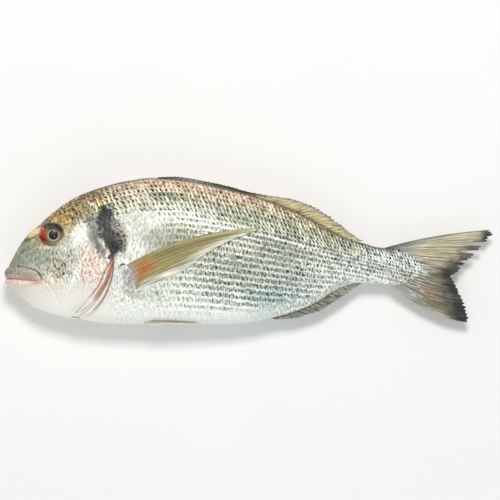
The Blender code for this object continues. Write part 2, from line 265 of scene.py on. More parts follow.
def skinPoint(x, angle, side):
    # a point of the smooth body: angle is -90 degrees at the belly and 90 at the back
    top, bottom = backY(x), bellyY(x)
    s, c = np.sin(angle), np.maximum(np.cos(angle), 0.0)
    y = (top + bottom) / 2 + (top - bottom) / 2 * (s - body["widestDrop"] * c * c)
    reach = np.maximum(x - body["tailBulgeStart"], 0) / (stalkEndX - body["tailBulgeStart"])
    px = x + body["tailBulge"] * reach ** 2 * c * c
    z = midZ(x) + side * halfWidth(x) * c ** body["sectionPower"]
    return np.stack([px, y, z], -1)


def skinNormal(x, angle, side):
    step, turn = 0.4, 0.01
    lengthwise = skinPoint(x + step, angle, side) - skinPoint(x - step, angle, side)
    a, b = np.minimum(angle + turn, math.pi / 2), np.maximum(angle - turn, -math.pi / 2)
    around = skinPoint(x, a, side) - skinPoint(x, b, side)
    n = np.cross(lengthwise, around) * np.reshape(side, np.shape(side) + (1,))
    n[..., 2] = np.where(np.abs(np.cos(angle)) < 0.03, 0.0, n[..., 2])
    return n / np.maximum(np.linalg.norm(n, axis=-1, keepdims=True), 1e-9)


def angleAt(x, y):
    # the angle round the section at x where the skin is at height y
    top, bottom = backY(x), bellyY(x)
    k = body["widestDrop"]
    t = (y - (top + bottom) / 2) / ((top - bottom) / 2)
    s = (-1 + np.sqrt(np.maximum(1 + 4 * k * (t + k), 0))) / (2 * k)
    return np.arcsin(np.clip(s, -0.9999, 0.9999))


def evenAngles(count):
    # angles that space the rows evenly round the deepest section
    fine = np.linspace(-math.pi / 2, math.pi / 2, 2001)
    deep, wide = body["deepest"]
    run = np.cumsum(np.hypot(deep * np.cos(fine), wide * np.sin(fine)))
    return np.interp(np.linspace(run[0], run[-1], count), run, fine)


scales = {
    # where the scales lie on the flanks
    "lateralLine": [(-135, 12), (-100, 20.5), (-86.6, 23.7), (-69.9, 26.2), (-49.3, 26.8), (-28, 24.6),
                    (-7.4, 20.8), (20, 14.2), (45, 7), (70, 0.2), (98, -7), (113, -10.5)],
    "pitch": [(-150, 3.2), (-60, 3.05), (-20, 2.75), (20, 2.6), (60, 2.2), (113, 2)],
    "rowAbove": [(-120, 3.4), (-20, 3.4), (30, 3), (60, 2.6), (113, 2.2)],
    "rowBelowNear": 3.4,    # heights of the rows next to the lateral line and further below it
    "rowBelowFar": 4.45,
    "depthHere": 73.5,      # lateral line to belly where the far rows are that tall
    "stripePhase": -0.23,
    "lean": 0.42,           # how far a column of scales leans towards the head going up
    "relief": 0.10,
    "roundness": 0.44,      # half width over half height of a section
    # strength of the dark ticks by share of the height from belly to back
    "ticks": [(0.04, 0.02), (0.16, 0.16), (0.35, 0.22), (0.6, 0.22), (0.70, 0.22), (0.78, 0.40),
              (0.82, 0.95), (0.86, 1.35), (0.90, 1.20), (0.93, 0.75), (0.97, 0.65), (1, 0.2)],
}
lateralY = curveThrough(scales["lateralLine"])
scalePitch = curveThrough(scales["pitch"])
rowAbove = curveThrough(scales["rowAbove"])
stationX = np.linspace(-165, 130, 600)
scaleCount = np.concatenate([[0], np.cumsum(np.diff(stationX) / scalePitch(stationX[1:]))])
depthTable = np.linspace(0, 100, 400)
rowHeight = between(scales["rowBelowNear"], scales["rowBelowFar"], ramp(4, 22, depthTable))
rowsDown = np.concatenate([[0], np.cumsum(np.diff(depthTable) / rowHeight[1:])])
# length of skin from mid height upwards, for a section one unit half deep
sectionHeight = np.linspace(-1, 1, 801)
sectionSlope = scales["roundness"] * sectionHeight / np.sqrt(np.maximum(1 - sectionHeight ** 2, 1e-3))
sectionRun = np.hypot(1, sectionSlope[1:]) * np.diff(sectionHeight)
sectionRun = np.concatenate([[0], np.cumsum(sectionRun)])


def scaleRows(x, y):
    # (a, b): a counts scales from head to tail and b counts rows up from the lateral line
    over = y - lateralY(x)
    half, middle = (backY(x) - bellyY(x)) / 2, (backY(x) + bellyY(x)) / 2
    run = half * (np.interp((y - middle) / half, sectionHeight, sectionRun)
                  - np.interp((lateralY(x) - middle) / half, sectionHeight, sectionRun))
    a = np.interp(x + scales["lean"] * np.maximum(over, -6), stationX, scaleCount)
    shrink = 0.5 + 0.5 * (lateralY(x) - bellyY(x)) / scales["depthHere"]
    below = -np.interp(np.maximum(-over, 0) / shrink, depthTable, rowsDown)
    b = np.where(over > 0, run / rowAbove(x), below) + scales["stripePhase"]
    return a, b


def scaleRelief(a, b):
    # overlapping plates: each rises to its free rear edge and steps down to the next
    row = np.floor(b + 0.5)
    v = b - row
    u = a + 0.5 * np.minimum(row, 0) + 1.1 * v * v
    rise = u - np.floor(u)
    plate = rise * ramp(1.0, 0.78, rise)
    return plate * (1 - 0.35 * ramp(0.3, 0.5, np.abs(v)))


head = {
    # lines of the head's own features
    "gillEdge": [(-103.5, 48), (-102.5, 36), (-101.2, 28.3), (-99.3, 21), (-97, 13), (-93.4, 4.3),
                 (-89.9, -2.7), (-89.3, -9), (-89.7, -14), (-92.5, -24), (-96.6, -32), (-102.1, -38.1),
                 (-109, -42.2), (-114, -45), (-117, -50)],
    "gillBone": [(-88.6, -2.6), (-91.4, -7.5), (-94.5, -13), (-98.5, -23), (-104.6, -30), (-111.1, -37),
                 (-115, -41.3)],
    "gillTop": 9.0,
    "coverThickness": 1.3,
    "slitDepth": 3.6,
    "upperLip": [(-161, -14.4), (-156, -14.2), (-150, -14.6), (-145, -15.6), (-139, -17.3),
                 (-137.2, -18.2)],
    "lowerLip": [(-160.5, -20.2), (-156, -20.9), (-150, -21.2), (-144, -21.2), (-138, -20.5)],
    "mouth": [(-162, -18.2), (-156, -18.3), (-151, -18.5), (-145.5, -19), (-140, -19.7),
              (-136.2, -19.2)],
    "lipCrease": [(-160, -10.2), (-152, -10.5), (-145, -11.6), (-139.5, -13.6), (-136.2, -16.2),
                  (-135.5, -18.6)],
    "jawLine": [(-135.5, -19), (-131, -22.5), (-127.5, -27.5), (-125, -33)],
    "preopercle": [(-108.5, 4), (-108.2, -1.3), (-108.8, -9), (-108.9, -16.3), (-107.3, -22.5),
                   (-104, -27.5)],
    "preopercleFront": [(-112.2, 2), (-113.5, -8), (-117, -18), (-122.5, -26.5)],
    "nostrilLine": [(-148.2, 6.6), (-144.5, 8.1), (-139.7, 9.9)],
    "nostril": (-148.4, 0.4),
    "eyeOpening": (-129.4, 10.7, 7.7, 6.35),
    "pectoralBase": [(-81.5, -12.5), (-79, -18), (-78.5, -24.5)],
    # ridges and grooves: (line, half width, height, taper); plates: (line, reach, height)
    "ridges": [("upperLip", 4.0, 1.25, 0.45), ("lowerLip", 2.6, 0.9, 0.35), ("mouth", 0.75, -1.0, 0),
               ("lipCrease", 0.9, -0.35, 0), ("jawLine", 1.2, -0.30, 0), ("nostrilLine", 0.7, -0.45, 0),
               ("pectoralBase", 6.2, 1.5, 0)],
    "plates": [("preopercle", 7.0, 0.45), ("preopercleFront", 6.0, 0.30), ("gillBone", 8.0, 0.55)],
}


def ridge(x, y, points, width, height, taper):
    # a rounded ridge (or groove, if height is negative) along a line
    d, share = lineDistance(x, y, points)
    w = width * (1 - taper * share)
    return height * np.maximum(1 - (d / w) ** 2, 0) ** 1.5


def step(x, y, points, reach, height):
    # a plate's edge along a line: full height on the line's tail side, fading forward
    d, share = lineDistance(x, y, points)
    edge = np.minimum(ramp(0.0, 0.12, share), ramp(1.0, 0.85, share))
    lineX = np.interp(y, [p[1] for p in points][::-1], [p[0] for p in points][::-1])
    before = x < lineX
    return height * edge * np.where(before, np.maximum(1 - d / reach, 0) ** 2,
                                    np.maximum(1 - d / 0.5, 0))


def headRelief(x, y):
    # the height of every feature of the head and of the fin base over the smooth body
    up = 0
    for line, width, height, taper in head["ridges"]:
        up = up + ridge(x, y, head[line], width, height, taper)
    for line, reach, height in head["plates"]:
        up += step(x, y, head[line], reach, height)
    nx, ny = head["nostril"]
    up -= 0.8 * np.maximum(1 - (np.hypot(x - nx, y - ny) / 1.1) ** 2, 0)
    ex, ey, rx, ry = head["eyeOpening"]
    r = np.hypot((x - ex) / rx, (y - ey) / ry)
    up += 0.55 * hump(r, 1.12, 0.13)
    up -= 1.9 * ramp(1.04, 0.90, r)
    up -= 2.4 * ramp(0.86, 0.70, r)
    return up


def skinGrid():
    # positions of all columns and rows: column by column from the snout to the tail stalk
    # up the left flank from belly to back, then down the right flank
    upper, lower = evenAngles(body["upperRows"] + 1), evenAngles(body["lowerRows"] + 1)
    angles = np.concatenate([upper, lower[-2:0:-1]])
    side = np.concatenate([np.ones(len(upper)), -np.ones(len(lower) - 2)])
    edgeX = curveThrough([(y, x) for x, y in head["gillEdge"]][::-1])
    gillX = np.full(len(angles), -100.0)
    for _ in range(30):
        gillX = 0.5 * gillX + 0.5 * edgeX(skinPoint(gillX, angles, side)[..., 1])
    gillY = skinPoint(gillX, angles, side)[..., 1]
    opening = ramp(head["gillTop"], head["gillTop"] - 9, gillY)
    opening *= 0.25 + 0.75 * ramp(-45.5, -41.5, gillY)
    thick = head["coverThickness"] * opening

    columns, lifts, kinds = [np.full(len(angles), snoutX)], [0 * angles], [0]
    u = np.linspace(0, 1, body["headColumns"])
    for share in 0.3 * u * u + 0.7 * u:
        x = between(snoutX, gillX, share)
        columns.append(x)
        lifts.append(thick * ramp(-15, 0, x - gillX))
        kinds.append(0)
    radius = thick * 0.42
    for k, phi in enumerate(np.linspace(0, math.pi, 9)[1:]):
        columns.append(gillX + radius * math.sin(phi) + 0.004 * (k + 1))
        lifts.append(thick - radius + radius * math.cos(phi))
        kinds.append(1)
    for k in range(1, 6):
        columns.append(gillX - head["slitDepth"] * opening * k / 5 + 0.04 + 0.004 * k)
        lifts.append(thick * 0.16 - 0.02 * opening * k)
        kinds.append(1)
    start = gillX - head["slitDepth"] * opening + 0.08
    for k, share in enumerate(np.linspace(0, 1, body["trunkColumns"])):
        x = between(start, stalkEndX, share)
        columns.append(x)
        lifts.append(-0.45 * opening * ramp(9, 0, x - gillX))
        kinds.append(2)
    x, lift = np.array(columns), np.array(lifts)
    angle, sides = np.broadcast_to(angles, x.shape), np.broadcast_to(side, x.shape)
    base = skinPoint(x, angle, sides)
    normal = skinNormal(x, angle, sides)
    return base, normal, lift, np.array(kinds)


def scaleCover(x, y, kinds):
    # 1 where scales show: the trunk, the nape and, fainter, the cheek and the gill cover
    nape = ramp(-131, -118, x) * ramp(14, 24, y)
    cheek = 0.45 * ramp(-134, -126, x) * ramp(6, -2, y) * ramp(-34, -26, y)
    onHead = np.maximum(nape, cheek)
    bald = np.exp(-spread(x, y, -79.5, -19, 6, 9) ** 2)
    cover = np.where((kinds == 2)[:, None], 1 - bald, onHead)
    under = ramp(-30, -42, y) * 0.75
    front = ramp(-62, -80, x) * ramp(-4, -16, y) * 0.85
    return cover * (1 - np.maximum(under, front))


def buildSkin():
    base, normal, lift, kinds = skinGrid()
    px, py = base[..., 0], base[..., 1]
    shown = (kinds != 1)[:, None]
    a, b = scaleRows(px, py)
    cover = scaleCover(px, py, kinds)
    detail = scaleRelief(a, b) * scales["relief"] * cover
    detail = detail + np.where((kinds == 0)[:, None] | (px < -60), headRelief(px, py), 0.0)
    detail += 0.22 * softNoise(px, py, 17, 3) + 0.07 * softNoise(px, py, 5.5, 4)
    points = base + normal * (lift + detail * shown)[..., None]
    # the flank that the fish lies on is pressed flat
    points[..., 2] = np.maximum(points[..., 2], 0.0)
    # the snout and the tail end close on the middle plane
    points[0, :, 2], points[-1, :, 2] = midZ(points[0, :, 0]), midZ(points[-1, :, 0])
    return points, (px, py, a, b, cover, kinds)


skinTones = {
    # mean colours of the skin at each x, as (share of the height from belly to back, colour)
    -157: [(0, "#F2E4DA"), (0.35, "#DFC6B9"), (0.6, "#9E978A"), (0.85, "#8F907C"), (1, "#6F705C")],
    -140: [(0, "#FDF9F3"), (0.25, "#F6EBE1"), (0.4, "#D0C6B8"), (0.6, "#A5A894"), (0.8, "#AAA68C"),
           (0.95, "#8E8058"), (1, "#57533C")],
    -120: [(0, "#FDFBF5"), (0.2, "#FBF3EB"), (0.33, "#ECE6DB"), (0.45, "#C9C5B6"), (0.62, "#CDCBBC"),
           (0.75, "#AF9F78"), (0.9, "#8A7B58"), (1, "#59523C")],
    -103: [(0, "#FBF8F2"), (0.2, "#F9F0E8"), (0.35, "#F6E4D9"), (0.5, "#F0DDD0"), (0.62, "#CDCDBE"),
           (0.78, "#B4AC8E"), (0.9, "#9E8F6C"), (1, "#5C543E")],
    -84: [(0, "#F6F5F0"), (0.15, "#F2F1E9"), (0.3, "#E6E7DE"), (0.45, "#EBE9DF"), (0.6, "#D6D6CC"),
          (0.70, "#C6C6BB"), (0.78, "#BCBAAA"), (0.85, "#B2AC98"), (0.92, "#C2B09C"), (0.98, "#BAA58F"),
          (1, "#5E594C")],
    -50: [(0, "#F2F2EE"), (0.1, "#EFEEE6"), (0.25, "#E4E4DB"), (0.42, "#CED0C4"), (0.56, "#A5A694"),
          (0.64, "#ACADA0"), (0.72, "#C4C4BA"), (0.78, "#BABAAE"), (0.84, "#939482"),
          (0.895, "#8A8876"), (0.925, "#C6AC98"), (0.985, "#CCA88F"), (1, "#4E4B42")],
    -15: [(0, "#EEEFEC"), (0.07, "#EEF0EA"), (0.17, "#D6D9D1"), (0.3, "#BDC1B6"), (0.45, "#B2B5A9"),
          (0.6, "#C1C2B4"), (0.7, "#D0D0C6"), (0.78, "#ACAD9A"), (0.86, "#929180"), (0.90, "#B8A48C"),
          (0.975, "#C2A590"), (1, "#4C4A41")],
    20: [(0, "#E6E9E6"), (0.15, "#B6C0BC"), (0.3, "#B3B9B0"), (0.5, "#B3B6A9"), (0.62, "#A2A497"),
         (0.73, "#96978A"), (0.88, "#93957F"), (0.93, "#AA9F88"), (0.98, "#B69C84"), (1, "#544F42")],
    55: [(0, "#E2E5E2"), (0.1, "#D0D4CE"), (0.3, "#CDD0C8"), (0.5, "#C4C6BE"), (0.65, "#A0A195"),
         (0.8, "#8E8D7E"), (0.92, "#86846F"), (1, "#5E5C4C")],
    85: [(0, "#EAEBE8"), (0.12, "#DEE1DC"), (0.3, "#BEC1BC"), (0.5, "#B0B4AE"), (0.7, "#AAAFA7"),
         (0.88, "#8F958B"), (1, "#60645C")],
    110: [(0, "#CDBBA6"), (0.2, "#C4B8AA"), (0.5, "#AEB0AC"), (0.75, "#9A9B94"), (1, "#86857C")],
}

skinPatches = [
    # x, y, half length, half height, turn in degrees, colour, strength
    (-123.5, 21, 8.5, 3.8, 30, "#C49A62", 0.75),  # amber band over the eye
    (-119, 19.6, 2.2, 1.6, 20, "#F0C860", 0.9),
    (-120, 31, 2.2, 1.2, 30, "#D08A48", 0.8),
    (-127, 26, 7, 2.2, 42, "#8F6E38", 0.55),
    (-141.5, 11, 4.8, 3.4, 52, "#F8DA9E", 0.92),  # gold patch before the eye
    (-139, 12.5, 2.4, 1.6, 50, "#F6E6C0", 0.8),
    (-135, 11, 2.8, 5.2, -8, "#CC3E26", 0.95),  # red corner of the eye
    (-147, -1, 7, 7.5, 35, "#98A08A", 0.6),  # grey-green snout
    (-133, -5, 9, 5.5, 10, "#9CA196", 0.5),
    (-124, -12, 8, 6.5, -50, "#A89C84", 0.55),  # speckled cheek
    (-131, 2.5, 8, 1, 4, "#E6D6B4", 0.7),  # pale rim under the eye
    # white glossy patch on the temple: a painted highlight
    (-111, 11, 9, 6, 75, "#FFFCF4", 0.92),
    (-115, -17.5, 2.4, 9.5, -24, "#FBFAF7", 0.95),  # white crescent on the cheek: a painted wet highlight
    (-101.5, -9, 7.5, 15, 10, "#FFEBE0", 0.75),  # salmon gill cover
    (-104, -8, 2.5, 11, 4, "#F6CDB8", 0.4),
    (-93.5, -6, 3.2, 4.5, 25, "#E2CCD0", 0.6),
    (-129, -23, 7, 3, 20, "#F4D8C8", 0.45),  # flushed corner of the jaw
    (-112, -38, 7, 3, -15, "#F2DCCE", 0.35),
    (-101.8, 13, 4.4, 14, 8, "#8B9285", 0.9),  # grey-green behind the temple
    (-100, 8, 2.2, 9, 14, "#4E544C", 0.6),
    (-97, 0.5, 3, 6.5, 26, "#6A6E68", 0.8),
    (-85.5, 9, 3.6, 8, 14, "#7A6658", 0.7),
    (-104, 31, 2.9, 1.3, -48, "#DCD2DC", 0.9),
    (-96, 33.4, 3.2, 1.4, -30, "#B08C48", 0.75),
    (-106, 33.5, 3, 1.6, 20, "#C08E62", 0.5),
    (-156, -13.8, 5, 1.8, 0, "#8C8480", 0.6),  # lips
    (-146, -15.2, 10, 2.6, -8, "#A69A90", 0.85),
    (-150, -17, 8.5, 1.3, -3, "#CDA99C", 0.8),
    (-149, -21.6, 8.5, 2.3, 0, "#F6DCD0", 0.9),
    # a painted highlight on the wet lower lip
    (-148, -21, 3, 1.2, 0, "#FBEBDD", 0.9),
    (-139, -20.6, 3.6, 1.5, 10, "#E8A898", 0.9),
    (-79.8, -17.5, 4.6, 8, 10, "#AD9D9C", 0.95),  # fleshy base of the pectoral fin
    (-84.5, -16, 2.4, 8, 12, "#F4F3EE", 0.9),
    (-78, -26.5, 3.6, 1.6, -10, "#C99A8E", 0.7),
    (-75, -29.5, 6, 1.8, -8, "#A9AA9E", 0.6),
    (-84, 3, 3.6, 5, 20, "#84705F", 0.7),  # brown scales under the shoulder
    (-82.5, 12, 2.6, 5, 12, "#B29A80", 0.6),
    (-74, -1, 5.5, 7, 0, "#EFEEE6", 0.7),
    (-50, 8, 17, 8.5, 4, "#989C86", 0.6),  # olive shading of the flank
    (-62, -28, 14, 6, 0, "#D2D6CE", 0.5),
    (30, 4, 26, 1.2, -17, "#E9EBE2", 0.55),  # pale streak under the lateral line
    (12, -30.5, 15, 5, 0, "#9DAEB0", 0.6),
]

skinStrokes = [
    # points, half width, colour, strength
    ([(-152.5, -9.8), (-145.5, -10.9), (-139.5, -13), (-136.4, -16)], 0.6, "#78726A", 0.75),
    ([(-160, -18.3), (-151, -18.6), (-145.5, -19.1), (-140, -19.5)], 0.6, "#B58A7E", 0.7),
    ([(-139, -14), (-136.4, -16.4), (-135.7, -18.2)], 0.6, "#4E443E", 0.8),
    ([(-149, 5.6), (-144.5, 7.7), (-139.4, 9.6)], 0.7, "#4C5048", 0.85),
    ([(-148.9, 0.8), (-148.3, -0.6)], 0.9, "#4A4C46", 0.8),
    ([(-137.5, 10), (-134.8, 5.2), (-131, 3.6), (-126, 3.7)], 0.8, "#5A2E24", 0.85),
    ([(-136, 14), (-131.5, 17.4), (-126, 17.2), (-122.2, 13.2)], 1.1, "#3C342C", 0.85),
    ([(-135.8, 4), (-131, 2.4), (-125, 2.6), (-121.5, 5.5)], 0.7, "#DCCFAE", 0.5),
    ([(-109, 0), (-109.6, -9), (-109.4, -17), (-107.5, -23)], 0.4, "#CC9C8A", 0.45),
    ([(-89.6, -5), (-90.6, -12), (-93.6, -20), (-98, -27), (-101, -31)], 1.7, "#B87656", 0.85),
    ([(-89.3, -7), (-90.6, -13), (-93.6, -21), (-98, -28)], 0.4, "#70402C", 0.75),
    ([(-88.4, -3), (-91.2, -7.5), (-94.8, -13.5), (-98.8, -23), (-104.6, -30)], 0.5, "#9C5A46", 0.85),
    ([(-104.6, -30), (-109, -35), (-114, -40.5)], 0.45, "#BCA89C", 0.7),
    ([(-93, -19), (-97.5, -27.5), (-104, -34.5), (-110.5, -39.5)], 0.4, "#A88E7E", 0.6),
    ([(-96.4, -27), (-102, -34.6), (-108, -39.8), (-113, -42.4)], 0.4, "#9C8E82", 0.6),
    ([(-89.4, -3), (-89.4, -14), (-92.2, -23.5), (-96.4, -31.5), (-102, -37.8)], 0.45, "#8E7462", 0.8),
    ([(-84.9, -9.6), (-82.6, -8.6), (-81.2, -9)], 0.6, "#26241F", 0.95),
    ([(-116.8, -42.6), (-111, -43.3)], 0.4, "#57503E", 0.85),
    ([(-135, -19.5), (-130.5, -23), (-127.5, -28)], 0.5, "#E2C0B2", 0.35),
]


def paintStations(x, share, stations):
    # colours read between the given stations along the body
    xs = sorted(stations)
    layers = np.array([readStops(share, stations[sx]) for sx in xs])
    place = np.clip(np.interp(x, xs, np.arange(len(xs))), 0, len(xs) - 1.001)
    low = place.astype(int)
    blend = (place - low)[..., None]
    blend = blend * blend * (3 - 2 * blend)
    pick = lambda k: np.take_along_axis(layers, k[None, ..., None], 0)[0]
    return pick(low) * (1 - blend) + pick(low + 1) * blend


def paintPatches(colour, x, y, patches, ragged=0.18):
    for px, py, rx, ry, turn, tone, strength in patches:
        c, s = math.cos(math.radians(turn)), math.sin(math.radians(turn))
        u, v = ((x - px) * c + (y - py) * s) / rx, (-(x - px) * s + (y - py) * c) / ry
        r = np.hypot(u, v) + ragged * softNoise(x, y, 1.6, 21) + ragged * softNoise(x, y, 0.8, 22)
        colour = laidOver(colour, tone, strength * ramp(1.25, 0.55, r))
    return colour


def paintStrokes(colour, x, y, strokes):
    for points, reach, tone, strength in strokes:
        d, share = lineDistance(x, y, points)
        taper = ramp(-0.05, 0.12, share) * ramp(1.05, 0.88, share)
        amount = strength * (ramp(1.35, 0.5, d / reach) * (0.35 + 0.65 * taper))
        colour = laidOver(colour, tone, amount)
    return colour


fleckTones = {
    # flecks of the forehead, the back, the gill cover and the fin base, and the painted shadow and blood of
    # the open gill slit
    "brow": "#5A4628", "gilt": "#E9CD98", "rosyBrown": "#957558", "rosyCream": "#EADCCB",
    "rust": "#C8805C", "flesh": "#F0EAEA", "slit": "#2A211C", "blood": "#8A4A3A",
}
shoulderPatch = {
    # the black shoulder mark, between the gill opening and the first scales
    "outline": [(-98.5, 29), (-95, 30.8), (-90.5, 28), (-87.2, 22.5), (-84.8, 16), (-81, 8.5),
                (-79.8, 3), (-82, -0.5), (-85.6, -0.5), (-88.2, -4), (-89.6, -7), (-91.2, -4),
                (-93.8, 2.5), (-96.8, 9), (-98.6, 15), (-99, 23)],
    "black": "#070807",
    "glint": "#DDE3E6",
}


def insideAmount(x, y, outline, soft):
    # 1 inside a closed outline, fading over a soft border
    pts = np.array(outline + outline[:1])
    inside = np.zeros(x.shape, bool)
    for (ax, ay), (bx, by) in zip(pts[:-1], pts[1:]):
        cross = (ay > y) != (by > y)
        inside ^= cross & (x < ax + (y - ay) * (bx - ax) / (by - ay + 1e-12))
    d, _ = lineDistance(x, y, outline + outline[:1])
    return ramp(-soft, soft, np.where(inside, d, -d))


def skinColours(x, y, cover, kinds):
    top, bottom = backY(x), bellyY(x)
    share = np.clip((y - bottom) / (top - bottom), 0, 1)
    share = share + 0.012 * softNoise(x, y, 6, 11) * ramp(0.99, 0.93, share)
    colour = paintStations(x, share, skinTones)
    colour = paintPatches(colour, x, y, skinPatches)
    colour = paintStrokes(colour, x, y, skinStrokes)
    onHead = (kinds == 0)[:, None]
    rosy = ramp(0.87, 0.92, share) * ramp(0.995, 0.97, share) * ramp(-105, -85, x) * ramp(55, 30, x)
    gillCover = np.exp(-spread(x, y, -101.5, -10, 8, 14) ** 2) * onHead
    flecks = [
        # where and how strong, colour, size, seed, range of the noise that shows
        (0.65 * ramp(13, 19, y) * ramp(-96, -106, x) * onHead, "brow", 1.1, 45, 0.05, 0.45),
        (0.6 * ramp(12, 16, y) * ramp(-108, -114, x) * onHead, "gilt", 0.9, 46, 0.15, 0.5),
        (0.55 * rosy, "rosyBrown", 1.3, 43, 0.1, 0.5),
        (0.55 * rosy, "rosyCream", 1.3, 44, 0.1, 0.5),
        (0.58 * (gillCover + 0.45 * ramp(22, 30, y) * ramp(-88, -100, x)), "rust", 0.9, 41, 0.15, 0.55),
        (0.65 * np.exp(-spread(x, y, -79.8, -18, 4, 7) ** 2), "flesh", 1.2, 47, 0.1, 0.5),
    ]
    for amount, tone, size, seed, low, high in flecks:
        amount = amount * ramp(low, high, softNoise(x, y, size, seed))
        colour = laidOver(colour, fleckTones[tone], amount)
    # black shoulder mark, streaked lighter, with painted wet glints along its crest
    edge = 1.9 * softNoise(x, y, 2.4, 31) + 1.3 * softNoise(x, y, 1.0, 32)
    mark = insideAmount(x + edge, y + edge * 0.7, shoulderPatch["outline"], 1.5)
    streak = softNoise(x + 0.5 * y, y * 0.30, 0.75, 33)
    scaly = ramp(-91.0, -86, x + 0.42 * (y - 12)) * ramp(22, 14, y)
    mark = mark * (1 - 0.65 * scaly * ramp(-0.25, 0.15, softNoise(x, y, 1.1, 34)))
    lighter = (1 + 3.6 * np.maximum(streak, 0) ** 1.5)[..., None]
    greyEdge = (1 + 2.0 * ramp(-95, -99, x + 0.3 * (y - 12)))[..., None]
    tone = linearColour(shoulderPatch["black"]) * lighter * greyEdge
    mark = (0.97 * mark)[..., None]
    colour = colour * (1 - mark) + tone * mark
    # painted highlights: white glints of wet scales along the crest of the mark
    crest = ramp(3.2, 0.8, np.abs(x + 89.6 + 0.55 * (y - 24))) * ramp(8, 16, y)
    crest = np.maximum(crest, 0.08 * ramp(-86, -90, x))
    paintedGlints = ramp(0.2, 0.5, softNoise(x * 0.7 + y, y * 0.7 - x, 0.85, 35)) * crest * mark[..., 0]
    colour = laidOver(colour, shoulderPatch["glint"], 0.75 * paintedGlints)
    # shadow and blood in under the gill cover
    inner = laidOver(linearColour(fleckTones["slit"]), fleckTones["blood"], ramp(2, -8, y))
    colour = np.where((kinds == 1)[:, None, None], inner, colour)

    # how strongly the ticks, the rows of flecks and the mottling show at each place
    trunk = (kinds == 2)[:, None]
    over = y - lateralY(x)
    tick = np.interp(share, *zip(*scales["ticks"]))
    rear = ramp(-15, 25, x)
    tick = np.maximum(tick, 1.75 * rear * ramp(-10, 0, over) * ramp(1.0, 0.96, share))
    tick = np.maximum(tick, 0.32 * ramp(12, 40, x) * ramp(0.06, 0.2, share) * ramp(1.0, 0.96, share))
    tick = tick * (1 - 0.8 * ramp(-52, -74, x) * ramp(4, -6, over))
    tick = np.where(trunk, tick * (1 - 0.8 * mark[..., 0]), 0.45 * cover)
    stripe = ramp(0, -6, over) * ramp(0.06, 0.16, share) * ramp(-66, -24, x)
    stripe = np.where(trunk, stripe * (1 - 0.25 * ramp(18, 30, x)), 0) * 0.95
    speckle = np.where(trunk, 0.55 + 0.40 * ramp(18, 30, x) * ramp(2, -4, over), 0.62)
    speckle += 0.9 * np.exp(-spread(x, y, -124, -12, 9, 8))
    speckle += 0.5 * ramp(18, 30, y) * ramp(-80, -110, x)
    speckle *= 1 - 0.6 * ramp(-32, -40, y) * ramp(20, 0, x)
    speckle *= 1 - 0.85 * ramp(-16, -25, y) * ramp(-84, -98, x)
    speckle *= 1 - 0.5 * np.exp(-spread(x, y, -147, -18, 14, 6))
    marks = np.stack([tick, stripe, speckle, np.ones_like(x)], -1)
    return opaque(colour), marks


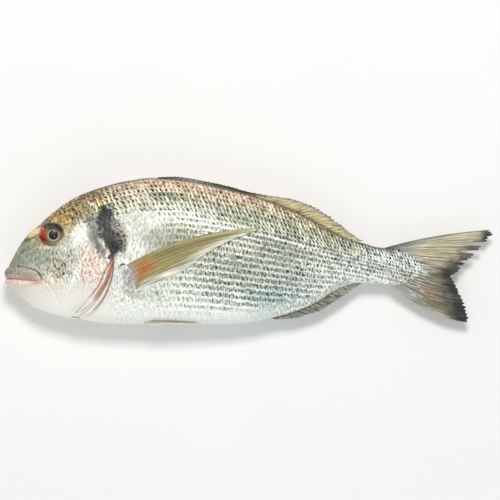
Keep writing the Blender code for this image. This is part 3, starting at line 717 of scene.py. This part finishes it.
def makeSkinMaterial():
    # wet fish skin: thin silvery scales under clear slime. Soft pearly glints painted into the colour as
    # highlights (a bright rim by each tick, single scales lighter at random), dark tick at each scale's
    # pocket, a sharp wet highlight on top
    material, node = startMaterial("wetScaledSkin")
    tint = node("Attribute", {"attribute_name": "tint"})
    marks = node("Attribute", {"attribute_name": "marks"})
    strength = node("SeparateColor", {}, marks.outputs["Color"])
    tickStrength, stripeStrength, grainStrength = strength.outputs[:3]
    lattice = node("UVMap", {"uv_map": "scales"})
    at = node("SeparateXYZ", {}, lattice)
    place = node("TexCoord").outputs["Object"]
    a, b = at.outputs[0], at.outputs[1]

    # which scale this is, and where on it: across runs head to tail, v runs belly to back
    row = node("Math", {"operation": "FLOOR"}, node("Math", add, b, 0.5))
    v = node("Math", subtract, b, row)
    height = node("Math", absolute, v)
    rowShift = node("Math", times, node("Math", {"operation": "MINIMUM"}, row, 0.0), 0.5)
    wobble = node("TexNoise", flat, {"Vector": lattice, "Scale": 0.8, "Detail": 2.0})
    shift = node("Math", timesAdd, wobble, 1.0, rowShift)
    curve = node("Math", times, node("Math", timesAdd, v, 0.7, 0.2), v)
    u = node("Math", add, node("Math", add, a, shift), curve)
    column = node("Math", {"operation": "FLOOR"}, u)
    across = node("Math", subtract, u, column)
    cell = node("CombineXYZ", {}, column, row)
    dice = node("TexWhiteNoise", flat, {"Vector": cell})
    toss = node("SeparateColor", {}, dice.outputs["Color"])

    # a dark tick in each scale's pocket, about 0.8 mm wide and three times as long
    middle = node("Math", timesAdd, toss.outputs[1], 0.24, 0.35)
    fromMiddle = node("Math", absolute, node("Math", subtract, across, middle))
    tickAcross = node("MapRange", smooth, {"Value": fromMiddle, "From Min": 0.25, "From Max": 0.10})
    tickAlong = node("MapRange", smooth, {"Value": height, "From Min": 0.42, "From Max": 0.16,
                                          "To Min": 0.05})
    weather = node("TexNoise", flat, {"Vector": lattice, "Scale": 0.30, "Detail": 3.0})
    patchy = node("MapRange", {}, {"Value": weather, "From Min": 0.3, "From Max": 0.7, "To Min": 0.35,
                                   "To Max": 1.3})
    tick = node("Math", times, tickAcross, tickAlong)
    tick = node("Math", times, tick, node("Math", timesAdd, toss.outputs[0], 1.0, 0.45))
    tick = node("Math", times, tick, patchy)
    # and a painted highlight beside it: a thin bright rim
    fromHighlightRim = node("Math", absolute, node("Math", subtract, across, 0.84))
    rim = node("MapRange", smooth, {"Value": fromHighlightRim, "From Min": 0.20, "From Max": 0.04})
    rim = node("Math", times, rim, node("Math", times, toss.outputs[2], 0.85))
    tickShade = node("Math", add, node("Math", subtract, 0.15, tick), rim)
    tickShade = node("Math", times, tickShade, node("Math", times, tickStrength, 2.0))

    # lower flank: dusky rows of upright flecks between wavy pale lines
    bend = node("Math", subtract, wobble, 0.5)
    wavy = node("Math", absolute, node("Math", timesAdd, bend, 0.55, v))
    ragged = node("Math", subtract, weather, 0.5)
    wavy = node("Math", timesAdd, ragged, 0.45, wavy)
    line = node("MapRange", smooth, {"Value": wavy, "From Min": 0.16, "From Max": 0.50})
    upright = node("VectorMath", times, lattice, (3.2, 2.1, 1.0))
    flecks = node("TexNoise", flat, {"Vector": upright, "Scale": 1.0, "Detail": 2.0, "Roughness": 0.7})
    fleck = node("Math", times, node("Math", subtract, flecks, 0.5), 3.3)
    stripeShade = node("Math", add, node("Math", timesAdd, line, 0.85, -0.33), fleck)
    stripeShade = node("Math", times, stripeShade, stripeStrength)

    # fine streaky mottling of the bare skin, drawn out along the slope of the cheek
    drawn = node("Mapping", {}, {"Vector": place, "Rotation": (0, 0, 0.9), "Scale": (1.25, 0.7, 1.0)})
    grain = node("TexNoise", {}, {"Vector": drawn, "Scale": 1000 / 1.6, "Detail": 2.0,
                                  "Roughness": 0.8})
    speckle = node("Math", times, node("Math", subtract, grain, 0.5),
                   node("Math", times, grainStrength, 4.6))
    # painted glints of single scales: each scale a little lighter or darker at random
    plate = node("Math", times, node("Math", subtract, toss.outputs[2], 0.5),
                 node("Math", times, tickStrength, 0.5))

    # the lateral line: a row of fine dark dashes
    fromLine = node("Math", subtract, b, scales["stripePhase"])
    dash = node("MapRange", smooth, {"Value": node("Math", absolute, fromLine), "From Min": 0.17,
                                     "From Max": 0.05})
    dash = node("Math", times, dash, node("Math", {"operation": "GREATER_THAN"}, toss.outputs[1], 0.2))
    onTrunk = node("MapRange", {}, {"Value": tickStrength, "From Max": 0.2, "To Max": -0.60})
    dash = node("Math", times, dash, onTrunk)

    total = node("Math", add, node("Math", add, tickShade, stripeShade),
                 node("Math", add, speckle, plate))
    total = node("Math", add, node("Math", add, total, dash), 1.0)
    factor = node("Math", larger, total, 0.05)
    shaded = node("VectorMath", scaled, {0: tint.outputs["Color"], "Scale": factor})
    slime = node("TexNoise", {}, {"Vector": place, "Scale": 1000 / 2.6, "Detail": 3.0})
    relief = node("Math", timesAdd, tick, -0.6, slime)
    bump = node("Bump", {}, {"Height": relief, "Strength": 0.35, "Distance": 0.0002})
    rough = node("MapRange", {}, {"Value": slime, "From Min": 0.3, "From Max": 0.7, "To Min": 0.36,
                                  "To Max": 0.56})
    shader = node("BsdfPrincipled", {}, {
        "Base Color": shaded, "Metallic": 0.15, "Roughness": rough, "IOR": 1.38,
        "Coat Weight": 0.22, "Coat Roughness": 0.2, "Coat IOR": 1.34, "Normal": bump})
    node("OutputMaterial", {}, {"Surface": shader})
    return material


def gridNormals(points):
    # smooth normals of the whole closed grid, so that the pieces meet without a seam
    lengthwise = np.gradient(points, axis=0)
    around = np.roll(points, -1, axis=1) - np.roll(points, 1, axis=1)
    n = np.cross(lengthwise, around)
    n[0] = (-1, 0, 0)
    return n / np.maximum(np.linalg.norm(n, axis=-1, keepdims=True), 1e-9)


skinMaterial = makeSkinMaterial()
points, (px, py, a, b, cover, kinds) = buildSkin()
tint, marks = skinColours(px, py, cover, kinds)
normals = gridNormals(points)
upperRows = body["upperRows"]
headEnd = int(np.argmax(kinds == 2)) + 1
middle = headEnd + body["trunkColumns"] // 2
skinPieces = [("skin_head", 0, headEnd), ("skin_shoulder", headEnd - 1, middle),
              ("skin_tail_half", middle - 1, len(points))]
for label, first, last in skinPieces:
    for flank, rowsHere in (("left", np.arange(0, upperRows + 1)),
                            ("right", np.append(np.arange(upperRows, points.shape[1]), 0))):
        block = np.ix_(np.arange(first, last), rowsHere)
        columns, rows = last - first, len(rowsHere)
        gridU, gridV = np.meshgrid(np.linspace(0.01, 0.99, columns), np.linspace(0.01, 0.99, rows),
                                   indexing="ij")
        piece = meshPiece(
            label + "_" + flank, points[block].reshape(-1, 3), gridQuads(columns, rows),
            normals[block].reshape(-1, 3),
            {"OFBake": np.stack([gridU, gridV], -1).reshape(-1, 2),
             "scales": np.stack([a[block], b[block]], -1).reshape(-1, 2)},
            {"tint": tint[block].reshape(-1, 4), "marks": marks[block].reshape(-1, 4)})
        piece.data.materials.append(skinMaterial)
        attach(piece, "root")
        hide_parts("body")
print("skin:", points.shape, "grid")


eyes = {
    # the blue-grey ring just inside the pupil's edge is a painted glare on the lens
    "rings": [(0, "#12242E"), (1.6, "#0C1A22"), (2.7, "#182E3A"), (3, "#08090A"), (3.3, "#DCC69C"),
              (3.8, "#B49C7C"), (4.5, "#7E6E62"), (5.3, "#A89482"), (5.9, "#54382A"), (6.4, "#2A1B16"),
              (7, "#2A1B16")],
    "catchLight": (0.7, -0.9, 0.22),  # place and radius of the painted catch light, a painted reflection of a lamp
    "glint": 0.8, "pupil": 3.05, "red": "#C23C26", "lidShade": "#3A4046",
    "columns": 72, "rows": 56,
}


def makeEyeMaterial():
    # a fish's eye under a clear wet cornea: glass-smooth highlight over a metallic iris
    material, node = startMaterial("wetCornea")
    tint = node("Attribute", {"attribute_name": "tint"})
    place = node("TexCoord").outputs["Object"]
    fibres = node("TexNoise", {}, {"Vector": place, "Scale": 1000 / 0.8, "Detail": 2.0})
    shade = node("MapRange", {}, {"Value": fibres, "To Min": 0.66, "To Max": 1.30})
    shaded = node("VectorMath", scaled, {0: tint.outputs["Color"], "Scale": shade})
    shader = node("BsdfPrincipled", {}, {
        "Base Color": shaded, "Roughness": 0.4, "Metallic": 0.1, "IOR": 1.34,
        "Coat Weight": 0.55, "Coat Roughness": 0.03, "Coat IOR": 1.34})
    node("OutputMaterial", {}, {"Surface": shader})
    return material


def buildEye(node, name, side):
    low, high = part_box(node)
    centre = np.array([(low[i] + high[i]) / 2 for i in range(3)]) / mm
    radii = np.array([(high[i] - low[i]) / 2 for i in range(3)]) / mm
    turn = np.linspace(0, 2 * math.pi, eyes["columns"], endpoint=False)
    tilt = np.linspace(0.001, math.pi - 0.001, eyes["rows"])
    t, p = np.meshgrid(tilt, turn, indexing="ij")
    unit = np.stack([np.sin(t) * np.cos(p), np.sin(t) * np.sin(p) * side, np.cos(t) * side], -1)
    across, up = unit[..., 0] * radii[0], unit[..., 1] * radii[1]
    r = np.hypot(across, up)
    colour = readStops(r, eyes["rings"])
    colour = np.where(unit[..., 2:] * side > 0, colour, linearColour(eyes["rings"][-1][1]))
    # painted shade: the lid's shadow darkens the upper iris
    lidShade = ramp(0.8, 4.2, up + 0.2 * across) * (r > eyes["pupil"])
    lidShade = lidShade[..., None]
    colour = colour * (1 - 0.85 * lidShade) + linearColour(eyes["lidShade"]) * 0.5 * lidShade
    red = ramp(3.5, 4.8, -across) * (unit[..., 2] * side > 0.3) * 0.8
    colour = laidOver(colour, eyes["red"], red)
    # painted catch light: a small bright reflection laid over the eye
    cx, cy, cr = eyes["catchLight"]
    paintedCatchLight = ramp(1.3, 0.5, np.hypot(across - cx, up - cy) / cr)
    colour += paintedCatchLight[..., None] * (eyes["glint"] - colour)
    quads = gridQuads(len(tilt), len(turn), wrap=True)
    # the whole ball unrolled as one disc, front pole in the middle
    disc = np.stack([0.5 + 0.48 * t / math.pi * np.cos(p), 0.5 + 0.48 * t / math.pi * np.sin(p)], -1)
    piece = meshPiece(name, (centre + unit * radii).reshape(-1, 3), quads, None,
                      {"OFBake": disc.reshape(-1, 2)}, {"tint": opaque(colour).reshape(-1, 4)})
    piece.data.materials.append(eyeMaterial)
    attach(piece, "root")
    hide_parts(node)


eyeMaterial = makeEyeMaterial()
buildEye("eye_left", "eyeball_left", left)
buildEye("eye_right", "eyeball_right", right)
print("eyes done")


def makeFinMaterial():
    # fin: wet translucent skin over bony rays. Satin membrane, slightly glossier rays
    material, node = startMaterial("wetRayedFin")
    tint = node("Attribute", {"attribute_name": "tint"})
    lattice = node("UVMap", {"uv_map": "rays"})
    at = node("SeparateXYZ", {}, lattice)
    # each ray splits in two towards its tip
    wave = node("Math", {"operation": "PINGPONG"}, at.outputs[0], 0.5)
    fork = node("Math", {"operation": "PINGPONG"}, at.outputs[0], 0.25)
    fork = node("Math", times, fork, 2.0)
    opened = node("MapRange", smooth, {"Value": at.outputs[1], "From Min": 0.35, "From Max": 0.8})
    ray = node("Mix", {}, {0: opened, 2: wave, 3: fork})
    stretched = node("VectorMath", times, lattice, (1.5, 2.2, 1.0))
    streaks = node("TexNoise", flat, {"Vector": stretched, "Scale": 1.0, "Detail": 2.0})
    joints = node("Math", {"operation": "SINE"}, node("Math", times, at.outputs[1], 190.0))
    shade = node("Math", add, node("Math", timesAdd, ray, 1.45, -0.36),
                 node("Math", timesAdd, streaks, 2.3, -1.15))
    shade = node("Math", timesAdd, joints, 0.04, shade)
    factor = node("Math", larger, node("Math", add, shade, 1.0), 0.2)
    shaded = node("VectorMath", scaled, {0: tint.outputs["Color"], "Scale": factor})
    bump = node("Bump", {}, {"Height": ray, "Strength": 0.4, "Distance": 0.0003})
    rough = node("MapRange", {}, {"Value": streaks, "To Min": 0.35, "To Max": 0.55})
    shader = node("BsdfPrincipled", {}, {
        "Base Color": shaded, "Roughness": rough, "IOR": 1.4,
        "Coat Weight": 0.25, "Coat Roughness": 0.15, "Coat IOR": 1.36, "Normal": bump})
    node("OutputMaterial", {}, {"Surface": shader})
    return material


def buildFin(name, node, spec, place, tones, ridges=0.22):
    # a thin closed sheet of rays: place(s, t) gives points across the fin and along its rays
    rays, lengthSteps = spec["rays"], spec["lengthSteps"]
    perRay = 8
    s, t = np.meshgrid(np.linspace(0, 1, rays * perRay + 1), np.linspace(0, 1, lengthSteps + 1),
                       indexing="ij")
    phase = s * rays
    # tips: every ray ends a little apart from its neighbours, torn deeper at the splits
    rng = np.random.RandomState(spec["seed"])
    rayEnd = rng.uniform(0, 1, rays + 2)
    near = np.floor(phase + 0.5).astype(int)
    notch = np.abs(phase - near) * 2
    short = spec["ragged"] * (0.55 * notch ** 1.5 + 0.45 * rayEnd[near])
    for at, depth, width in spec.get("tears", []):
        short = np.maximum(short, depth * np.maximum(1 - np.abs(s - at) / width, 0) ** 0.6)
    reach = t * (1 - short * ramp(0.0, 1.0, t))
    centre = place(s, reach)
    du, dv = np.gradient(centre, axis=0), np.gradient(centre, axis=1)
    normal = np.cross(dv, du)
    normal /= np.maximum(np.linalg.norm(normal, axis=-1, keepdims=True), 1e-9)
    if normal[..., 2].mean() < 0:
        normal = -normal
    rayShape = np.cos(np.pi * (phase - near)) ** 2
    thick = spec["thickness"] / 2 * (1 - 0.55 * t) + ridges * (rayShape - 0.5) * (1 - 0.7 * t)
    thick = np.maximum(thick, 0.08) * spec.get("rootSwell", lambda s, t: 1.0)(s, t)
    top, bottom = centre + normal * thick[..., None], centre - normal * thick[..., None]
    if spec.get("floor"):
        bottom[..., 2] = np.maximum(bottom[..., 2], spec["floor"])
        top[..., 2] = np.maximum(top[..., 2], spec["floor"] + 0.12)
    columns, rows = s.shape
    quads = gridQuads(columns, rows)
    size = rows * columns
    index = np.arange(size).reshape(columns, rows)
    loop = np.concatenate([index[:, 0], index[-1, 1:], index[-2::-1, -1], index[0, -2:0:-1]])
    rim = np.stack([loop, np.roll(loop, -1), np.roll(loop, -1) + size, loop + size], -1)
    faces = np.concatenate([quads, quads[:, ::-1] + size, rim[:, ::-1]])
    points = np.concatenate([top.reshape(-1, 3), bottom.reshape(-1, 3)])
    colour = tones(s, reach, centre)
    colour = colour * (1 + 0.10 * softNoise(centre[..., 0], centre[..., 1], 3.0, 51))[..., None]
    tint = opaque(colour).reshape(-1, 4)
    rayMap = np.stack([phase, t], -1).reshape(-1, 2)
    bake = np.stack([0.01 + 0.98 * s, 0.01 + 0.48 * t], -1).reshape(-1, 2)
    piece = meshPiece(name, points, faces, None, {"OFBake": np.concatenate([bake, bake + (0, 0.5)]),
                                                  "rays": np.concatenate([rayMap, rayMap])},
                      {"tint": np.concatenate([tint, tint])})
    piece.data.materials.append(finMaterial)
    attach(piece, "root")
    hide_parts(node)


def toneField(base, *layers):
    # a base colour with (amount, colour) layers laid over it
    colour = linearColour(base)
    for amount, tone in layers:
        colour = laidOver(colour, tone, amount)
    return colour


caudal = {
    "root": [(87, 1.6), (93, 1.5), (99.5, 0.2), (104, -4.7), (106, -11.5), (103.5, -17.5),
             (98.5, -21.4), (94, -22.2), (91, -21.8)],
    "tips": [(157.5, 13.6), (160.3, 12), (157.6, 8.2), (153.6, 3.6), (148.5, -1.4), (143.6, -6),
             (139.3, -10.8), (135.6, -14.6), (131.7, -16.8), (133.4, -19), (136, -24.2), (138.4, -29.4),
             (141.4, -36.2), (143.5, -42.6), (142.8, -46.8)],
    "upperBow": 2.0, "lowerBow": 5.6,
    "rays": 30, "lengthSteps": 80, "thickness": 1.1, "ragged": 0.055, "seed": 5,
    # tears between the rays: (place across the fin, depth, half width)
    "tears": [(0.165, 0.34, 0.022), (0.265, 0.26, 0.022), (0.385, 0.15, 0.018), (0.44, 0.12, 0.014),
              (0.74, 0.05, 0.012), (0.85, 0.06, 0.012)],
    "rootSwell": lambda s, t: 1 + 1.3 * ramp(0.30, 0.0, t),
}


def placeCaudal(s, t):
    rx, ry = along(caudal["root"], s)
    tx, ty = along(caudal["tips"], s)
    up = caudal["upperBow"] * np.maximum(1 - 2.4 * s, 0) ** 1.3
    down = caudal["lowerBow"] * np.maximum(2.4 * s - 1.4, 0) ** 1.3
    bow = 4 * t * (1 - t)
    x = between(rx, tx, t) + bow * down * 0.35
    y = between(ry, ty, t) + bow * (up - down)
    z = midZ(x) + 0.35 * np.sin(s * 40) * t * t + 0.5 * softNoise(x, y, 14, 61) * t
    return np.stack([x, y, z], -1)


def caudalTones(s, t, p):
    x, y = p[..., 0], p[..., 1]
    rough = 0.05 * softNoise(x, y, 2.2, 62)
    lower = ramp(0.50, 0.60, s)
    # dusky trailing edge, widest at the fork and down the lower lobe
    width = np.interp(s, [0, 0.1, 0.2, 0.42, 0.52, 0.62, 0.8, 0.95, 1.0],
                      [0.06, 0.14, 0.32, 0.42, 0.60, 0.48, 0.44, 0.46, 0.4])
    edge = ramp(1 - width, 1 - 0.25 * width, t + 1.2 * rough)
    edge = edge * np.interp(s, [0.1, 0.5], [0.75, 1])
    tipTop = ramp(149, 155, x + 10 * rough)
    tipLow = ramp(-33, -43, y) * ramp(130, 138, x)
    outer = np.maximum(ramp(0.05, 0.0, s) * ramp(0.75, 0.35, t), ramp(0.955, 1.0, s))
    rootGrey = ramp(119, 102, x + 60 * rough + 0.10 * np.abs(y + 10))
    olive = ramp(0.06, 0.16, s) * ramp(0.5, 0.3, s)
    russet = hump(s, 0.33, 0.12) * hump(t, 0.22, 0.16)
    pink = hump(s, 0.80, 0.10) * ramp(0.75, 0.35, t) * ramp(0.05, 0.25, t)
    middle = hump(s, 0.51, 0.08) * ramp(0.1, 0.6, t)
    blotch = 0.5 + 0.5 * softNoise(x * 0.5, y, 3.2, 64)
    # scales run out on the rays as short white streaks
    streaks = ramp(0.1, 0.6, softNoise(s * 150, t * 13, 1.0, 65)) * hump(x, 112, 7)
    dark = ramp(0.22, 0.02, s) * ramp(0.42, 0.15, t)
    return toneField("#AEA58E", (0.78 * lower, "#706B57"), (0.55 * olive, "#B5A680"),
                     (0.45 * russet, "#B48A64"), (0.40 * middle, "#6E6A54"),
                     (0.45 * blotch * lower, "#4E4B3E"), (0.60 * pink, "#96705A"),
                     (0.8 * rootGrey, "#A2A59F"), (0.65 * streaks, "#EAEBE6"), (0.7 * dark, "#5C605C"),
                     (0.85 * outer * (s < 0.5), "#3C3A32"), (0.8 * outer * (s > 0.5), "#CFC6B4"),
                     (0.93 * edge, "#22211D"), (0.9 * tipTop, "#1C1B18"), (0.9 * tipLow, "#1E1D1A"))


dorsal = {
    "top": [(-63, 47.7), (-58, 48.4), (-50, 48.6), (-40, 47.6), (-33, 46.3), (-15, 42.6), (0, 38.4),
            (12.9, 36.2), (24, 34.6), (35.2, 31.9), (46.3, 26.6), (59.1, 17.5), (66.5, 11.5),
            (72.4, 6.8)],
    "first": -62.5, "last": 69.5,
    "rays": 52, "lengthSteps": 24, "thickness": 1.0, "ragged": 0.15, "seed": 8,
}


def placeDorsal(s, t):
    x0 = between(dorsal["first"], dorsal["last"], s)
    soft = ramp(0.42, 0.62, s)
    run = 3.0 + 11.0 * soft * ramp(1.06, 0.80, s)
    x = x0 + run * t
    y = between(backY(x0) - 0.9, curveThrough(dorsal["top"])(x0 + run), t) + 1.2 * soft * t * (1 - t)
    # folded down, it leans a little towards the upper flank
    z = midZ(x) + 0.8 + 0.6 * t
    return np.stack([x, y, z], -1)


def dorsalTones(s, t, p):
    soft = ramp(0.44, 0.56, s)
    margin = ramp(0.70, 0.93, t + 0.05 * softNoise(p[..., 0], p[..., 1], 2.0, 71))
    blackSpines = (1 - soft) * ramp(0.1, 0.5, t)
    greySpan = hump(p[..., 0], -38, 12) * (1 - soft)
    # painted shadow: dark brown along the base of the soft rays, where the fin meets the back
    baseShadow = ramp(0.30, 0.05, t)
    gold = soft * hump(t, 0.42, 0.22)
    return toneField("#B2A98C", (0.5 * (1 - soft), "#55544C"), (0.85 * blackSpines, "#1B1C1A"),
                     (0.75 * greySpan * ramp(1.0, 0.7, t), "#9A9C94"), (0.8 * gold, "#C9B680"),
                     (0.8 * baseShadow * soft, "#6F5238"), (0.85 * margin * soft, "#7C7A70"),
                     (0.7 * ramp(0.90, 0.98, t), "#34332E"))


anal = {
    "bottom": [(12, -44.6), (20, -45), (28.7, -44.7), (37, -42.6), (45.7, -40), (56.2, -33.8),
               (63.2, -29.2), (70, -24), (73.2, -21.8)],
    "first": 13.5, "last": 69.8,
    "rays": 22, "lengthSteps": 20, "thickness": 1.0, "ragged": 0.12, "seed": 9,
}


def placeAnal(s, t):
    x0 = between(anal["first"], anal["last"], s)
    run = 2.0 + 1.2 * s + 6.8 * np.sin(np.pi * np.clip(s, 0, 1) ** 0.8) ** 0.7
    x = x0 + run * t
    y = between(bellyY(x0) + 1.0, curveThrough(anal["bottom"])(x0 + run), t)
    return np.stack([x, y, midZ(x) - 0.4 - 1.2 * t], -1)


def analTones(s, t, p):
    margin = ramp(0.80, 0.96, t)
    ruddy = hump(s, 0.70, 0.12) * ramp(0.5, 0.1, t)
    return toneField("#7E7E72", (0.5 * ramp(0.4, 0.0, t), "#6E6552"), (0.6 * ruddy, "#C09478"),
                     (0.55 * ramp(0.55, 0.9, s), "#9AA098"), (0.8 * margin, "#D2D4CC"))


pectoral = {
    # the line round which the fin fans out, the line of its ray tips, and its lift off the skin
    "root": [(-80.8, -9.2), (-77.2, -12.5), (-75.5, -18), (-75.8, -23.5), (-78.5, -28)],
    "tips": [(6.5, 14.6), (4.5, 13.4), (0, 11.4), (-9, 8.2), (-18, 4.2), (-27, -1), (-35.5, -7.6),
             (-44, -13.2), (-53, -17.6), (-61, -20.2), (-68, -22.6), (-72, -26.4)],
    "upperBow": 5.6,
    "rays": 17, "lengthSteps": 90, "thickness": 0.9, "ragged": 0.035, "seed": 12,
    "lift": (0.8, 1),
    "rootSwell": lambda s, t: 1 - 0.6 * ramp(0.55, 1.0, s),
}


def pectoralPlan(s, t):
    rx, ry = along(pectoral["root"], s)
    tx, ty = along(pectoral["tips"], s ** 2.3)
    bow = 4 * t * (1 - t) * (1 - s) ** 1.1
    return between(rx, tx, t) - 1.2 * bow, between(ry, ty, t) + pectoral["upperBow"] * bow


def placePectoralLeft(s, t):
    x, y = pectoralPlan(s, t)
    lift = between(*pectoral["lift"], t) * (1 - 0.6 * ramp(0.45, 1.0, s))
    z = skinPoint(x, angleAt(x, y), left)[..., 2] + lift
    return np.stack([x, y, z + 0.4 * np.sin(np.pi * s) * ramp(0, 0.3, t)], -1)


def placePectoralRight(s, t):
    x, y = pectoralPlan(s, t)
    z = skinPoint(x, angleAt(x, y), right)[..., 2]
    return np.stack([x, y, np.maximum(z - 0.6, 0.55)], -1)


def pectoralTones(s, t, p):
    x, y = p[..., 0], p[..., 1]
    orange = hump(x, -69.5, 6.5) * hump(s, 0.38, 0.24)
    fromEdge, _ = lineDistance(x, y, pectoral["tips"])
    reach = np.interp(x, [-75, -60, -40, -20, 0], [3.5, 6.0, 6.5, 3.6, 1.6])
    sheer = ramp(1.15, 0.35, fromEdge / reach) * ramp(0.06, 0.16, t)
    sheer = sheer * ramp(0.28, 0.45, s + 0.25 * ramp(-45, 0, x))
    top = ramp(0.10, 0.0, s)
    root = ramp(0.06, 0.0, t)
    tip = ramp(-35, 0, x)
    dark = hump(s, 0.24, 0.10) * ramp(0.12, 0.3, t) * ramp(0.95, 0.75, t)
    return toneField("#9C8E5A", (0.6 * tip, "#CFC8A4"), (0.65 * dark, "#5E5022"),
                     (0.9 * orange, "#B8622C"), (0.5 * top, "#9C9876"), (0.85 * sheer, "#DEDBCA"),
                     (0.75 * root, "#B3A3A0"))


pelvic = {
    "rays": 7, "lengthSteps": 44, "thickness": 0.9, "ragged": 0.06, "seed": 15,
    "rootX": -69.5, "tipX": -30.5,
    "outer": (-1.16, -1.30), "inner": (-1.50, -1.40),  # angles round the body, root and tip
}


def placePelvic(side):
    def place(s, t):
        x = between(pelvic["rootX"], pelvic["tipX"], t * (1 - 0.35 * s))
        outer, inner = between(*pelvic["outer"], t), between(*pelvic["inner"], t)
        # the root is gathered to a point and opens within a few millimetres
        opened = 0.15 + 0.85 * ramp(0.0, 0.22, t)
        angle = between(outer, inner, 0.5 + (s - 0.5) * opened)
        sides = np.full(np.shape(angle), float(side))
        p = skinPoint(x, angle, sides)
        return p + skinNormal(x, angle, sides) * (0.15 + 0.55 * ramp(0.0, 0.2, t))[..., None]
    return place


def pelvicTones(s, t, p):
    brown = ramp(0.30, 0.05, s) * ramp(0.0, 0.12, t) * ramp(1.0, 0.7, t)
    return toneField("#EAE5DA", (0.75 * brown, "#8E6C4C"), (0.4 * ramp(0.15, 0.0, t), "#E8DAD0"))


finMaterial = makeFinMaterial()
buildFin("tail_fin", "caudal_fin", caudal, placeCaudal, caudalTones)
buildFin("back_fin", "dorsal_fin", dorsal, placeDorsal, dorsalTones, 0.10)
buildFin("anal_fin_rays", "anal_fin", anal, placeAnal, analTones, 0.10)
buildFin("pectoral_rays_left", "pectoral_fin_left", pectoral, placePectoralLeft, pectoralTones)
buildFin("pectoral_rays_right", "pectoral_fin_right", dict(pectoral, floor=0.15, thickness=0.5),
         placePectoralRight, pectoralTones, 0.1)
buildFin("pelvic_rays_left", "pelvic_fin_left", pelvic, placePelvic(left), pelvicTones, 0.10)
buildFin("pelvic_rays_right", "pelvic_fin_right", pelvic, placePelvic(right), pelvicTones, 0.10)
print("fins done")


studio = {
    "floorSize": 3.0, "floorColour": "#F9F5F5", "floorRoughness": 0.6,
    "mottleColour": "#F5F2F2", "mottleScale": 9.0,
    "skyColour": "#E6F5F1", "skyStrength": 0.425,
    # soft boxes: (name, place, size, power, colour, casts a shadow)
    "softBoxes": [("softboxKey", (0.08, 1.40, 2.3), 0.66, 38.8, "#FFFCFA", True),
                  ("softboxWide", (-0.5, 0.9, 2.6), 1.8, 12.5, "#FEFDFD", False),
                  ("bounceFill", (0.2, -2.4, 1.1), 2.4, 21.5, "#FBFCFC", False)],
    "cameraHeight": 3.0, "frameWidth": 0.3275, "lookAt": (-0.0002, 0.0005, 0.018),
    "sensor": 36.0,
}


def buildStudio():
    half = studio["floorSize"] / 2
    mesh = bpy.data.meshes.new("floor")
    mesh.from_pydata([(-half, -half, 0), (half, -half, 0), (half, half, 0), (-half, half, 0)], [],
                     [(0, 1, 2, 3)])
    floor = bpy.data.objects.new("floor", mesh)
    bpy.context.scene.collection.objects.link(floor)
    # matt white laminate: smooth, with the faintest mottle
    material, node = startMaterial("mattWhiteLaminate")
    place = node("TexCoord").outputs["Object"]
    mottle = node("TexNoise", {}, {"Vector": place, "Scale": studio["mottleScale"]})
    white, mottled = ((*linearColour(studio[key]), 1) for key in ("floorColour", "mottleColour"))
    tone = node("Mix", {"data_type": "RGBA"}, {0: mottle, 6: white, 7: mottled}).outputs[2]
    shader = node("BsdfPrincipled", {}, {"Base Color": tone, "Roughness": studio["floorRoughness"]})
    node("OutputMaterial", {}, {"Surface": shader})
    mesh.materials.append(material)
    floor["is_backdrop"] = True

    world = bpy.data.worlds.new("softSky")
    world.use_nodes = True
    sky = world.node_tree.nodes["Background"]
    sky.inputs["Color"].default_value = (*linearColour(studio["skyColour"]), 1)
    sky.inputs["Strength"].default_value = studio["skyStrength"]
    bpy.context.scene.world = world

    for name, place, size, power, colour, shadow in studio["softBoxes"]:
        lamp = bpy.data.lights.new(name, "AREA")
        lamp.size = size
        lamp.energy = power
        lamp.use_shadow = shadow
        lamp.color = linearColour(colour)
        box = bpy.data.objects.new(name, lamp)
        box.location = place
        box.rotation_euler = box.location.normalized().to_track_quat("Z", "Y").to_euler()
        bpy.context.scene.collection.objects.link(box)

    lens = bpy.data.cameras.new("overheadCamera")
    lens.type = "PERSP"
    lens.sensor_width = studio["sensor"]
    x, y, z = studio["lookAt"]
    lens.lens = studio["sensor"] * (studio["cameraHeight"] - z) / studio["frameWidth"]
    camera = bpy.data.objects.new("overheadCamera", lens)
    camera.location = (x, y, studio["cameraHeight"])
    bpy.context.scene.collection.objects.link(camera)
    bpy.context.scene.camera = camera
    bpy.context.scene.view_settings.view_transform = "Standard"


buildStudio()
sizes = {"cad": [list(corner) for corner in cadBox], "visual": [list(corner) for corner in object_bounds()]}
print("sizes", sizes)
